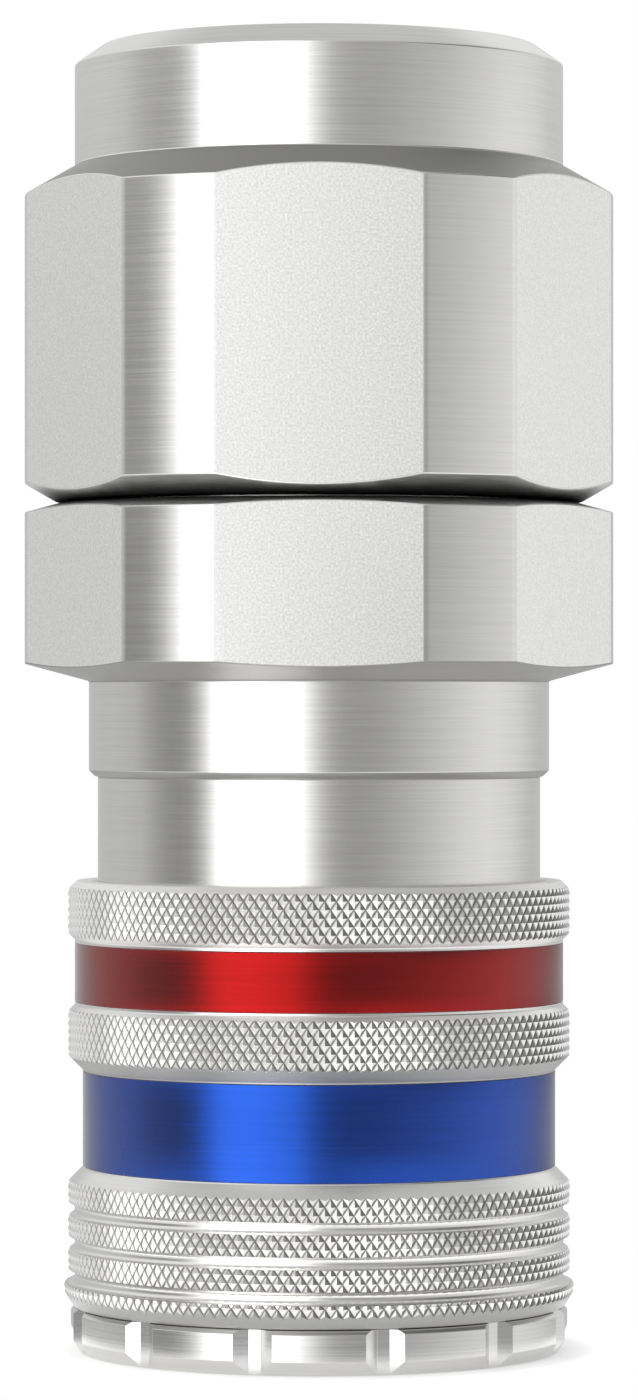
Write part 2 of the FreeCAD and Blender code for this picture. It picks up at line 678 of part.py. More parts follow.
def valve_poppet():
    body = new_node("valve_poppet")
    tube = less(nose_bore, "poppet_tube_gap")
    lip = less(nose_bore, "poppet_lip_gap")
    head = less(chamber, "poppet_head_gap")
    inside = less(tube, "poppet_wall")
    mouth = less(seat_height, "poppet_reach")
    lip_foot = less(valve_ring_height, half("valve_cord"), "poppet_lip_height")
    stem_top = total(head_top, "stem_length")
    turn(body, [
        (inside, mouth),
        (tube, mouth),
        (tube, lip_foot),
        (lip, lip_foot),
        (lip, total(lip_foot, "poppet_lip_height")),
        (poppet_neck, total(lip_foot, "poppet_lip_height")),
        (poppet_neck, head_foot),
        (head, head_foot),
        (head, head_top),
        (half("stem_diameter"), head_top),
        (half("stem_diameter"), less(stem_top, "stem_chamfer")),
        (less(half("stem_diameter"), "stem_chamfer"), stem_top),
        ("0", stem_top),
        ("0", tube_floor),
        (inside, tube_floor),
    ])
    sketch = new_sketch(body, "window", "YZ_Plane")
    centred_box(sketch, size("window_width"), less(tube_floor, "window_height"), tube_floor)
    window = body.newObject("PartDesign::Pocket", f"{sketch.Name}_cut")
    window.Profile = sketch
    window.Reversed = True
    window.setExpression("Length", tube)
    document.recompute()
    around(body, window, size("window_count"), "V_Axis")


# Hose nut with its collar
def hose_nut():
    body = new_node("hose_nut")
    collar = less(half("hex_flats"), "collar_inset")
    lower_cone = f"{less(hex_corner, hex_face)} * tan(sizes.nut_slope)"
    upper_cone = f"{less(hex_corner, collar)} * tan(sizes.nut_slope)"
    turn(body, [
        (total(thread_bore, "thread_chamfer"), nut_foot),
        (hex_face, nut_foot),
        (hex_corner, total(nut_foot, lower_cone)),
        (hex_corner, less(collar_foot, upper_cone)),
        (collar, collar_foot),
        (collar, less(nut_top, "collar_edge_rise")),
        (less(collar, "collar_edge_inset"), nut_top),
        (total(hose_mouth, "hose_entry_chamfer"), nut_top),
        (hose_mouth, less(nut_top, "hose_entry_chamfer")),
        (hose_mouth, hose_floor),
        (thread_bore, nut_thread_end),
        (thread_bore, total(nut_foot, "thread_chamfer")),
    ])
    mill_hexagon(body)


# Clamping ring, split, in the nut's inner cone
def clamp_ring():
    body = new_node("clamp_ring")
    inner = total(half("hose_outside"), "clamp_bore_play")
    outer = less(thread_bore, "clamp_inset")
    tip = total(inner, "clamp_tip")
    foot = total(neck_end, "clamp_lift")
    cone_run = f"({less(hose_floor, nut_thread_end)} / {less(thread_bore, hose_mouth)})"
    outer_end = total(nut_thread_end, f"{less(thread_bore, outer, 'clamp_play')} * {cone_run}")
    tip_end = total(nut_thread_end, f"{less(thread_bore, tip, 'clamp_play')} * {cone_run}")
    turn(body, [
        (inner, foot),
        (outer, foot),
        (outer, outer_end),
        (tip, tip_end),
        (inner, tip_end),
        *clamp_teeth(inner, foot),
    ])
    sketch = new_sketch(body, "slit", "XY_Plane")
    centred_box(sketch, size("clamp_slit"), less(inner, "overcut"), total(outer, "overcut"))
    pocket(body, sketch)


def clamp_teeth(inner, foot):
    """Grooves inside the clamping ring, from its thin end down; the teeth between them grip the hose."""
    root = total(inner, "tooth_depth")
    corners = []
    for index in reversed(range(int(measure(size("tooth_count"))))):
        start = total(foot, half("tooth_pitch"), f"{index} * sizes.tooth_pitch")
        corners.append((inner, total(start, "tooth_width")))
        corners.append((root, total(start, half("tooth_width"))))
        corners.append((inner, start))
    return corners


front_ring()
valve_body()
lock_balls()
locking_sleeve()
colour_band("blue_band", blue_face, "blue_margin", blue_start, blue_end)
colour_band("red_band", red_face, "red_margin", red_start, red_end)
hose_adapter()
valve_guide()
valve_poppet()
hose_nut()
clamp_ring()
ring_seal(
    "nipple_seal",
    less(seal_groove, half("seal_cord"), "seal_play"),
    total(seal_groove_foot, half("seal_groove_width")),
    half("seal_cord"),
)
pilot_gap = less(pilot_bore, pilot_groove)
ring_seal(
    "body_seal",
    total(pilot_groove, f"({pilot_gap} / 2)"),
    total(thread_end, "pilot_groove_inset", half("pilot_groove_width")),
    less(f"({pilot_gap} / 2)", "seal_play"),
)
ring_seal("valve_seal", total(valve_ring, "seal_play"), valve_ring_height, half("valve_cord"))
coil_spring(
    "sleeve_spring",
    sleeve_coil,
    size("sleeve_wire"),
    total("ball_height", "sleeve_land", "spring_play"),
    less(adapter_foot, "spring_play"),
    size("sleeve_coils"),
)
coil_spring(
    "valve_spring",
    valve_coil,
    size("valve_wire"),
    total(head_top, "spring_play"),
    less(body_top, "spring_play"),
    size("valve_coils"),
)
document.recompute()

# Nothing is written unless every object is sound
for item in document.Objects:
    if {"Invalid", "Error"} & set(item.State):
        raise RuntimeError(f"{item.Label} failed: {item.State}")
least_cut = 0.001
for item in document.Objects:
    if item.TypeId in ("PartDesign::Pocket", "PartDesign::Groove"):
        if item.Shape.Volume >= item.BaseFeature.Shape.Volume - least_cut:
            raise RuntimeError(f"{item.Label} cuts nothing")
for node in nodes:
    if node.Shape.isNull() or not node.Shape.isValid() or len(node.Shape.Solids) != 1:
        raise RuntimeError(f"{node.Label} is not one sound solid")

os.makedirs("parts", exist_ok=True)
for node in nodes:
    node.Shape.exportStep(os.path.join("parts", f"{node.Label}.step"))
    print(f"{node.Label}: {node.Shape.Volume:.1f} mm3")
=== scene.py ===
# %% [markdown]
# # A pneumatic quick coupling
#
# The coupling is a stack of turned steel pieces: a notched ring at the mouth, a knurled sleeve with
# two lacquered bands, an adapter with a six-flat flange, and a long six-flat nut for the hose. The
# CAD frame already holds every piece at its true size. This lesson gives the visible ones their
# fine shape (knurls, edge breaks, threads) and every one of them its finish. What is seen only
# through the mouth, such as the valve and the locking balls, keeps the shape that CAD gave it.

# %% Load the CAD frame
import math

import bmesh
import bpy
from mathutils import Matrix, Vector


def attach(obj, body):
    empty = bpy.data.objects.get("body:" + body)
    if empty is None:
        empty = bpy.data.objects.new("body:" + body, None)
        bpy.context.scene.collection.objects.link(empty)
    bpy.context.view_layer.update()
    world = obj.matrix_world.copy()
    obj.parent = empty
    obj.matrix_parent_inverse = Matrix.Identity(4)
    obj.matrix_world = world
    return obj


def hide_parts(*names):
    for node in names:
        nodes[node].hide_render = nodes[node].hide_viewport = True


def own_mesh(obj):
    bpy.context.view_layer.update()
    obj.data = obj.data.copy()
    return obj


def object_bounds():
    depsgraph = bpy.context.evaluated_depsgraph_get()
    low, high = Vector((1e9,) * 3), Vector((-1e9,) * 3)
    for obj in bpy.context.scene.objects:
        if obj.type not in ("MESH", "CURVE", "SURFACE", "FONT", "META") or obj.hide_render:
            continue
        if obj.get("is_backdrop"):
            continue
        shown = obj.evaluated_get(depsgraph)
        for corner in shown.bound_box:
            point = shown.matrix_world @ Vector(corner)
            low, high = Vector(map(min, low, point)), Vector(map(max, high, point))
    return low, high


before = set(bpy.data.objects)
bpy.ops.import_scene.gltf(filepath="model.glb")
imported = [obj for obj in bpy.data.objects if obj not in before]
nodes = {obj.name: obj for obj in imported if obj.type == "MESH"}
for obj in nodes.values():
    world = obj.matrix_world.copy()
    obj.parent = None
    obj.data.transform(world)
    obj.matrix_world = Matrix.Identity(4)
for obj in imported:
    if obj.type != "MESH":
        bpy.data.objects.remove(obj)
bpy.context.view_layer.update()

# %% [markdown]
# ## Working by hand, in code
#
# A modeller adds a primitive, enters edit mode, selects some points and moves them. The same operators
# work from a script, but they act on everything that is selected, so each helper clears the selection
# first. Faces and edges are then picked by a test on their place or direction instead of by the mouse.

# %% Start, edit and select
def clear_selection():
    """Leave edit mode and select nothing."""
    if bpy.context.object and bpy.context.object.mode != "OBJECT":
        bpy.ops.object.mode_set(mode="OBJECT")
    bpy.ops.object.select_all(action="DESELECT")


def start(name, add_primitive, **settings):
    """Add a primitive with nothing else selected, and name it."""
    clear_selection()
    add_primitive(**settings)
    piece = bpy.context.object
    piece.name = piece.data.name = name
    return piece


def pick(piece):
    """Make one piece the selected and active one."""
    clear_selection()
    piece.select_set(True)
    bpy.context.view_layer.objects.active = piece


def edit(piece, kind="VERT"):
    """Enter edit mode on one piece, with vertices, edges or faces as the things to select."""
    pick(piece)
    bpy.ops.object.mode_set(mode="EDIT")
    bpy.ops.mesh.select_mode(type=kind)
    return bmesh.from_edit_mesh(piece.data)


def select(piece, kind, test):
    """Select the vertices, edges or faces that pass a test."""
    mesh = edit(piece, kind)
    bpy.ops.mesh.select_all(action="DESELECT")
    group = {"VERT": mesh.verts, "EDGE": mesh.edges, "FACE": mesh.faces}[kind]
    for item in group:
        if test(item):
            item.select_set(True)
    mesh.select_flush_mode()
    bmesh.update_edit_mesh(piece.data)


# %% [markdown]
# ## Clean shells and broken edges
#
# No edge of a turned part is really sharp: a file or a tumbling drum leaves a small round, and that
# round is what catches the light. The rounds could be made edge by edge in edit mode. A Bevel modifier
# that is limited by angle finds the edges by itself, and applying it at once leaves real points for
# the next step. Where a piece has large plain faces, the bevel can also keep their shading flat.

# %% Apply modifiers, tidy shells and break edges
SHARP_EDGE = math.radians(28)


def apply_modifier(piece, kind, **settings):
    """Add a modifier with these settings and apply it at once."""
    pick(piece)
    modifier = piece.modifiers.new(kind.lower(), kind)
    for name, value in settings.items():
        setattr(modifier, name, value)
    bpy.ops.object.modifier_apply(modifier=modifier.name)


def tidy_shell(piece, merge=0.0005):
    """Merge doubled points and turn every face outwards."""
    edit(piece)
    bpy.ops.mesh.select_all(action="SELECT")
    bpy.ops.mesh.remove_doubles(threshold=merge)
    bpy.ops.mesh.normals_make_consistent(inside=False)
    bpy.ops.object.mode_set(mode="OBJECT")


def break_edges(piece, width, segments=2, keep_faces=False):
    """Round every sharp edge a little; keep_faces leaves the shading of the faces beside it flat."""
    if keep_faces:
        bpy.ops.object.shade_smooth_by_angle(angle=SHARP_EDGE, keep_sharp_edges=False)
    apply_modifier(piece, "BEVEL", width=width, segments=segments, limit_method="ANGLE",
                   angle_limit=SHARP_EDGE, use_clamp_overlap=True, miter_outer="MITER_ARC",
                   harden_normals=keep_faces)


# %% [markdown]
# ## Millimetres, and handing a piece over
#
# The drawing of such a part is in millimetres, and Blender's edit tools are steadier on numbers near
# one than on ten-thousandths. So each piece is modelled with one unit for one millimetre. When it is
# done, its points are shrunk by a thousand, which puts it in the frame's metres with its object at
# the origin, unturned and unscaled. It then rides on a body of the frame, so that the joints move it,
# and it stands for the CAD node that it replaces.

# %% Hand a finished piece over to the frame
MILLIMETRE = 0.001


def hand_over(piece, body, *stands_for, slot, smooth=30, weighted=False):
    """Shrink a finished piece to metres, shade it, and let it ride on its CAD body."""
    pick(piece)
    piece.data.transform(Matrix.Scale(MILLIMETRE, 4))
    if smooth:
        bpy.ops.object.shade_smooth_by_angle(angle=math.radians(smooth), keep_sharp_edges=False)
    if weighted:
        apply_modifier(piece, "WEIGHTED_NORMAL", weight=100, keep_sharp=True)
    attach(piece, body)
    if stands_for:
        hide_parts(*stands_for)
    print(f"{piece.name}: {len(piece.data.polygons)} faces, rides on {body}")


# %% [markdown]
# ## Turning on a lathe
#
# A lathe makes any round piece from one outline. In Blender the same thing is a single vertex that is
# extruded from corner to corner along the outline, closed, and then spun once about the axis. Spinning
# keeps every ring of points exactly round, which a stack of cylinders joined by hand would not.

# %% A lathe from one vertex
def trace(name, corners):
    """Closed outline: one vertex, extruded from corner to corner."""
    piece = start(name, bpy.ops.mesh.primitive_plane_add, size=1)
    edit(piece)
    bpy.ops.mesh.select_all(action="SELECT")
    bpy.ops.mesh.merge(type="CENTER")
    bpy.ops.transform.translate(value=corners[0])
    for here, there in zip(corners, corners[1:]):
        bpy.ops.mesh.extrude_vertices_move(TRANSFORM_OT_translate={"value": there - here})
    ends = (corners[0], corners[-1])
    select(piece, "VERT", lambda vertex: any((vertex.co - end).length < 1e-5 for end in ends))
    bpy.ops.mesh.edge_face_add()
    bpy.ops.mesh.select_all(action="SELECT")
    return piece


def lathe(name, outline, steps=240):
    """Turned solid: an outline of (radius, height) corners, spun about the axis."""
    piece = trace(name, [Vector((radius, 0, height)) for radius, height in outline])
    bpy.ops.mesh.spin(steps=steps, angle=2 * math.pi, center=(0, 0, 0), axis=(0, 0, 1))
    tidy_shell(piece)
    print(f"{name}: turned from {len(outline)} corners")
    return piece


# %% [markdown]
# ## Milling six flats
#
# Nut and flange get their six flats on a mill, after turning. Where a flat meets the cone at the end of
# the hexagon it leaves the bowed edge that every nut has. A boolean with a six-sided prism would give
# the same edges, but bisecting the blank with six planes leaves each flat as one clean face.

# %% A mill for six flats
HEX_APOTHEM = 16.0
HEX_CORNER = 17.0
FLAT_FACE = 15.2


def mill_flats(piece):
    """Six flats on a turned blank, one of them facing the camera."""
    for side in range(6):
        angle = math.radians(60 * side - 90)
        facing = Vector((math.cos(angle), math.sin(angle), 0))
        edit(piece)
        bpy.ops.mesh.select_all(action="SELECT")
        bpy.ops.mesh.bisect(plane_co=facing * HEX_APOTHEM, plane_no=facing, use_fill=True,
                            clear_outer=True, clear_inner=False)
    tidy_shell(piece)
    print(f"{piece.name}: six flats, {2 * HEX_APOTHEM} mm across")


# %% [markdown]
# ## The hose nut
#
# The nut clamps the hose. Its blank has a cone at each end of the hexagon and a smooth collar above, and
# inside a threaded bore that narrows in a cone to the bore for the hose. All of that is one outline for
# the lathe, so the inside is really hollow and can be looked into from above.

# %% Turn and mill the hose nut
NUT_FOOT, NUT_TOP = 48.94, 75.19
NUT_SLOPE = math.tan(math.radians(30))
COLLAR, COLLAR_FOOT = 14.11, 68.26
COLLAR_EDGE_INSET, COLLAR_EDGE_RISE = 1.56, 1.1
THREAD_BORE, THREAD_LEAD_IN = 12.55, 0.5
CLAMP_CONE_FOOT, CLAMP_CONE_TOP = 59.54, 66.99
HOSE_BORE, HOSE_LEAD_IN = 9.3, 0.8
NUT_EDGE = 0.09

hose_nut = lathe("hose_nut_skin", [
    (THREAD_BORE + THREAD_LEAD_IN, NUT_FOOT),
    (FLAT_FACE, NUT_FOOT),
    (HEX_CORNER, NUT_FOOT + (HEX_CORNER - FLAT_FACE) * NUT_SLOPE),
    (HEX_CORNER, COLLAR_FOOT - (HEX_CORNER - COLLAR) * NUT_SLOPE),
    (COLLAR, COLLAR_FOOT),
    (COLLAR, NUT_TOP - COLLAR_EDGE_RISE),
    (COLLAR - COLLAR_EDGE_INSET, NUT_TOP),
    (HOSE_BORE + HOSE_LEAD_IN, NUT_TOP),
    (HOSE_BORE, NUT_TOP - HOSE_LEAD_IN),
    (HOSE_BORE, CLAMP_CONE_TOP),
    (THREAD_BORE, CLAMP_CONE_FOOT),
    (THREAD_BORE, NUT_FOOT + THREAD_LEAD_IN),
])
mill_flats(hose_nut)
break_edges(hose_nut, NUT_EDGE)
hand_over(hose_nut, "nut", "hose_nut", slot="plated_steel", weighted=True)

# %% [markdown]
# ## The hose adapter
#
# The adapter joins the front body to the hose. From below it has the guide for the sleeve, a slightly
# wider shoulder, the flange, the neck for the nut's thread and the barbed tail that the hose is pushed
# over. The barbs repeat, so a small function lists their corners and the lathe does the rest.

# %% Turn and mill the hose adapter
GUIDE, SHOULDER = 12.78, 13.30
GUIDE_LEAD_IN, SHOULDER_CHAMFER = 0.3, 0.36
ADAPTER_FOOT, STEP_HEIGHT = 25.19, 33.09
FLANGE_FOOT, FLANGE_TOP = 38.59, 48.79
FLANGE_SLOPE = math.tan(math.radians(15))
NECK, NECK_END, NECK_CHAMFER = 12.0, 57.89, 0.5
TAIL_ROOT, TAIL_CREST, TAIL_TIP, TAIL_END = 6.2, 6.75, 5.7, 66.49
BARB_START, BARB_PITCH, BARB_LAND, BARBS = 0.7, 2.6, 0.4, 3
BODY_BORE, PILOT_FOOT = 9.3, 29.49
PILOT_BORE, PILOT_TOP = 9.05, 34.19
CHAMBER, CHAMBER_TOP = 7.5, 37.19
AIR_WAY, AIR_WAY_FOOT = 4.75, 39.94
ADAPTER_EDGE = 0.07


def barbs():
    """Saw-tooth corners of the hose tail."""
    corners = []
    for index in range(BARBS):
        foot = NECK_END + BARB_START + index * BARB_PITCH
        corners += [(TAIL_ROOT, foot), (TAIL_CREST, foot), (TAIL_CREST, foot + BARB_LAND)]
    return corners


hose_adapter = lathe("hose_adapter_skin", [
    (BODY_BORE, ADAPTER_FOOT),
    (GUIDE - GUIDE_LEAD_IN, ADAPTER_FOOT),
    (GUIDE, ADAPTER_FOOT + GUIDE_LEAD_IN),
    (GUIDE, STEP_HEIGHT),
    (SHOULDER - SHOULDER_CHAMFER, STEP_HEIGHT),
    (SHOULDER, STEP_HEIGHT + SHOULDER_CHAMFER),
    (SHOULDER, FLANGE_FOOT),
    (HEX_CORNER, FLANGE_FOOT + (HEX_CORNER - SHOULDER) * FLANGE_SLOPE),
    (HEX_CORNER, FLANGE_TOP - (HEX_CORNER - FLAT_FACE) * FLANGE_SLOPE),
    (FLAT_FACE, FLANGE_TOP),
    (NECK, FLANGE_TOP),
    (NECK, NECK_END - NECK_CHAMFER),
    (NECK - NECK_CHAMFER, NECK_END),
    (TAIL_ROOT, NECK_END),
    *barbs(),
    (TAIL_TIP, TAIL_END),
    (AIR_WAY, TAIL_END),
    (AIR_WAY, AIR_WAY_FOOT),
    (CHAMBER, CHAMBER_TOP),
    (CHAMBER, PILOT_TOP),
    (PILOT_BORE, PILOT_TOP),
    (PILOT_BORE, PILOT_FOOT),
    (BODY_BORE, PILOT_FOOT),
])
mill_flats(hose_adapter)
break_edges(hose_adapter, ADAPTER_EDGE)
hand_over(hose_adapter, "housing", "hose_adapter", slot="plated_steel", weighted=True)

# %% [markdown]
# ## Grooves and lands
#
# The sleeve has half-round grooves between its ribs, and two lands with shallow recesses for the coloured
# bands. Cut afterwards, each of them would need a boolean. Here they are short lists of corners, which go
# into the one outline that the lathe turns.

# %% Corners of the sleeve's grooves and lands
GRIP, FOOT_RIB = 14.5, 14.72
RIB_WIDTH, RIB_GROOVE = 1.15, 0.78
RIB_PITCH = RIB_WIDTH + RIB_GROOVE
GROOVE_POINTS = 11
BAND_THICKNESS = 0.15


def round_groove(foot):
    """Corners of a half-round groove between two ribs, from its lower to its upper edge."""
    middle = foot + RIB_GROOVE / 2
    turns = [math.pi * index / (GROOVE_POINTS - 1) for index in range(GROOVE_POINTS)]
    return [(GRIP - RIB_GROOVE / 2 * math.sin(turn), middle - RIB_GROOVE / 2 * math.cos(turn))
            for turn in turns]


def band_land(face, foot, top, margin):
    """Corners of a land with the shallow recess that takes a coloured band."""
    recess = face - BAND_THICKNESS
    return [(face, foot), (face, foot + margin), (recess, foot + margin),
            (recess, top - margin), (face, top - margin), (face, top)]


print("ribs every", round(RIB_PITCH, 2), "mm, bands", BAND_THICKNESS, "mm thick")

# %% [markdown]
# ## The sleeve's blank
#
# The sleeve is drawn back by hand to let the nipple go. Its blank has two plain bands, a row of ribs and
# the two lands. In the bore are the ramp and the land that hold the balls, and the room for the spring.
# It is spun in 251 steps, a number that shares no factor with the columns of the knurl to come, so that
# the boolean that cuts the knurl seldom meets two edges in one line.

# %% Turn the sleeve's blank
SLEEVE_FOOT, SLEEVE_TOP, SLEEVE_CHAMFER = 2.60, 27.09, 0.5
FOOT_EDGE_INSET, FOOT_EDGE_RISE = 0.55, 0.85
GRIPS_START = 3.94
BLUE_FACE, BLUE_START, BLUE_END, BLUE_MARGIN = 13.65, 10.58, 16.20, 0.08
RED_FACE, RED_START, RED_END, RED_MARGIN = 14.11, 19.94, 23.70, 0.20
LOWER_KNURL_FOOT, LOWER_KNURL_TOP, UPPER_KNURL_FOOT = 17.05, 19.55, 24.09
RAMP_MOUTH = 9.90
BALL_LAND, BALL_LAND_FOOT, BALL_LAND_TOP = 8.67, 8.83, 10.90
SPRING_ROOM, SPRING_ROOM_TOP = 11.90, 19.39
SLEEVE_BORE, SLEEVE_LEAD_IN = 12.85, 0.3
SLEEVE_STEPS = 251
SLEEVE_EDGE = 0.04

locking_sleeve = lathe("locking_sleeve_skin", [
    (RAMP_MOUTH, SLEEVE_FOOT),
    (FOOT_RIB - FOOT_EDGE_INSET, SLEEVE_FOOT),
    (FOOT_RIB, SLEEVE_FOOT + FOOT_EDGE_RISE),
    (FOOT_RIB, GRIPS_START),
    *round_groove(GRIPS_START),
    *round_groove(GRIPS_START + RIB_PITCH),
    *round_groove(GRIPS_START + 2 * RIB_PITCH),
    (GRIP, BLUE_START - (GRIP - BLUE_FACE)),
    *band_land(BLUE_FACE, BLUE_START, BLUE_END, BLUE_MARGIN),
    (GRIP, LOWER_KNURL_FOOT),
    (GRIP, LOWER_KNURL_TOP),
    *band_land(RED_FACE, RED_START, RED_END, RED_MARGIN),
    (GRIP, UPPER_KNURL_FOOT),
    (GRIP, SLEEVE_TOP - SLEEVE_CHAMFER),
    (GRIP - SLEEVE_CHAMFER, SLEEVE_TOP),
    (SLEEVE_BORE + SLEEVE_LEAD_IN, SLEEVE_TOP),
    (SLEEVE_BORE, SLEEVE_TOP - SLEEVE_LEAD_IN),
    (SLEEVE_BORE, SPRING_ROOM_TOP),
    (SPRING_ROOM, SPRING_ROOM_TOP),
    (SPRING_ROOM, BALL_LAND_TOP),
    (BALL_LAND, BALL_LAND_TOP),
    (BALL_LAND, BALL_LAND_FOOT),
], steps=SLEEVE_STEPS)
break_edges(locking_sleeve, SLEEVE_EDGE, segments=1)

# %% [markdown]
# ## A wall of diamonds
#
# A knurling tool presses two crossing sets of slanted grooves into the blank and leaves rows of small
# pyramids. Bump mapping would look flat at the edge of the sleeve, so the pyramids are real. A ring of
# squares is poked, which draws both diagonals, and its upright and level edges are dissolved, which
# leaves diamonds. One deep inset then gives each diamond its four slopes and its blunt tip.

# %% Draw the diamonds and raise them
KNURL_COLUMNS = 138
KNURL_ROW = 0.95
KNURL_DEPTH = 0.17
KNURL_SLOPE = 0.25


def knurl_wall(name, root, foot, rows):
    """Open round wall of diamond pyramids; root is the radius of the grooves."""
    piece = start(name, bpy.ops.mesh.primitive_circle_add, vertices=KNURL_COLUMNS, radius=root)
    edit(piece, "EDGE")
    bpy.ops.mesh.select_all(action="SELECT")
    bpy.ops.transform.translate(value=(0, 0, foot))
    for _ in range(rows):
        bpy.ops.mesh.extrude_region_move(TRANSFORM_OT_translate={"value": (0, 0, KNURL_ROW)})
    bpy.ops.mesh.select_all(action="SELECT")
    bpy.ops.mesh.normals_make_consistent(inside=False)
    bpy.ops.mesh.select_mode(type="FACE")
    bpy.ops.mesh.select_all(action="SELECT")
    bpy.ops.mesh.poke()

    def on_grid(vertex):
        row = (vertex.co.z - foot) / KNURL_ROW
        return abs(row - round(row)) < 0.1

    select(piece, "EDGE", lambda edge: all(on_grid(v) for v in edge.verts) and not edge.is_boundary)
    bpy.ops.mesh.dissolve_edges(use_verts=False)
    select(piece, "FACE", lambda face: len(face.verts) == 4)
    bpy.ops.mesh.inset(thickness=KNURL_SLOPE, depth=KNURL_DEPTH, use_individual=True, use_boundary=True)
    return piece


# %% [markdown]
# ## A cutting ring with a knurled bore
#
# The wall of diamonds could be laid on the sleeve as a skin, but then each band would end in a straight
# row. Instead the wall becomes the bore of a ring that stands round the sleeve. Taking that ring away
# from the turned blank leaves pyramids only where the blank is large enough, so the cones at the ends of
# each band cut the last row into points, just as the real blank does.

# %% Close the wall to a cutting ring
CUTTER_OUTSIDE = 16.5


def knurl_cutter(name, root, foot, rows):
    """Solid ring with the wall of diamonds as its bore."""
    piece = knurl_wall(name, root, foot, rows)
    widen = CUTTER_OUTSIDE / root
    for height in (foot, foot + rows * KNURL_ROW):
        select(piece, "EDGE", lambda edge: edge.is_boundary and all(
            abs(v.co.z - height) < 0.05 for v in edge.verts))
        bpy.ops.mesh.extrude_region_move(TRANSFORM_OT_translate={"value": (0, 0, 0)})
        bpy.ops.transform.resize(value=(widen, widen, 1), center_override=(0, 0, height))
    select(piece, "EDGE", lambda edge: edge.is_boundary)
    bpy.ops.mesh.bridge_edge_loops()
    tidy_shell(piece, merge=0.0001)
    print(f"{name}: {len(piece.data.polygons)} faces")
    return piece


# %% [markdown]
# ## Knurling the sleeve
#
# Four rings do the cutting: one for each plain band, one for all the ribs above the foot and one for the
# wider foot rib. Each starts a little below what it cuts, at the height where its rows of points lie as
# on the real sleeve. One ring for the whole sleeve could not follow the wider foot.

# %% Knurl the sleeve
for name, root, foot, rows in (
    ("upper_band_cutter", GRIP - KNURL_DEPTH, 23.015, 5),
    ("lower_band_cutter", GRIP - KNURL_DEPTH, 16.445, 4),
    ("grip_cutter", GRIP - KNURL_DEPTH, 4.175, 7),
    ("foot_cutter", FOOT_RIB - KNURL_DEPTH, 2.335, 2),
):
    cutter = knurl_cutter(name, root, foot, rows)
    apply_modifier(locking_sleeve, "BOOLEAN", operation="DIFFERENCE", solver="EXACT", object=cutter)
    bpy.data.objects.remove(cutter)
tidy_shell(locking_sleeve, merge=0.0002)
hand_over(locking_sleeve, "sleeve", "locking_sleeve", slot="plated_steel", smooth=20)

# %% [markdown]
# ## The front ring
#
# The ring closes the mouth and stops the sleeve. Before it is notched it is a plain washer with a wide
# chamfer at its foot and a narrow one at its top, so it starts on the lathe like the rest.

# %% Turn the front ring
RING, RING_BORE, RING_HEIGHT = 14.34, 8.2, 2.56
RING_FOOT_INSET, RING_FOOT_RISE = 0.52, 0.78
RING_TOP_CHAMFER = 0.25

front_ring = lathe("front_ring_skin", [
    (RING_BORE, 0.0),
    (RING - RING_FOOT_INSET, 0.0),
    (RING, RING_FOOT_RISE),
    (RING, RING_HEIGHT - RING_TOP_CHAMFER),
    (RING - RING_TOP_CHAMFER, RING_HEIGHT),
    (RING_BORE, RING_HEIGHT),
])

# %% [markdown]
# ## The ring's notches
#
# Twelve notches give the assembly spanner its grip. Each has two flat flanks and a flat bottom. One
# cutter is traced and extruded to a prism, and Spin, set to make duplicates, puts its eleven copies round
# the axis. A boolean then takes all twelve away at once. The edges that are left get a small break, and
# the bevel keeps the shading of the faces beside it flat, so that each flank shines as one plane.

# %% Notch the front ring
NOTCHES = 12
NOTCH_DEPTH = 0.53
NOTCH_BOTTOM = 0.72
NOTCH_FLANK = math.radians(33)
NOTCH_OUTSIDE = RING + 0.5
CUT_PAST = 1.0
SLIVER = 0.02
RING_EDGE = 0.03


def notch_section():
    """Corners of one notch in plan: flank, flat bottom, flank."""
    bottom = RING - NOTCH_DEPTH
    reach = NOTCH_BOTTOM / 2 + (NOTCH_OUTSIDE - bottom) / math.tan(NOTCH_FLANK)
    return [Vector((NOTCH_OUTSIDE, -reach, -CUT_PAST)), Vector((bottom, -NOTCH_BOTTOM / 2, -CUT_PAST)),
            Vector((bottom, NOTCH_BOTTOM / 2, -CUT_PAST)), Vector((NOTCH_OUTSIDE, reach, -CUT_PAST))]


cutter = trace("notch_cutter", notch_section())
bpy.ops.mesh.edge_face_add()
bpy.ops.mesh.extrude_region_move(TRANSFORM_OT_translate={"value": (0, 0, RING_HEIGHT + 2 * CUT_PAST)})
bpy.ops.mesh.select_all(action="SELECT")
bpy.ops.transform.rotate(value=math.pi / NOTCHES, orient_axis="Z", center_override=(0, 0, 0))
bpy.ops.mesh.spin(steps=NOTCHES - 1, dupli=True, angle=2 * math.pi * (1 - 1 / NOTCHES),
                  center=(0, 0, 0), axis=(0, 0, 1))
tidy_shell(cutter)
apply_modifier(front_ring, "BOOLEAN", operation="DIFFERENCE", solver="EXACT", object=cutter)
bpy.data.objects.remove(cutter)
tidy_shell(front_ring, merge=SLIVER)
break_edges(front_ring, RING_EDGE, keep_faces=True)
hand_over(front_ring, "housing", "front_ring", slot="plated_steel", smooth=None)

# %% [markdown]
# ## The two coloured bands
#
# The bands lie in the shallow recesses of the sleeve, so only their faces and two thin edges show. They
# could be painted on the sleeve as a second material. As pieces of their own, lathed with a small round
# on each edge, they show the thin joint line that the real ones have.

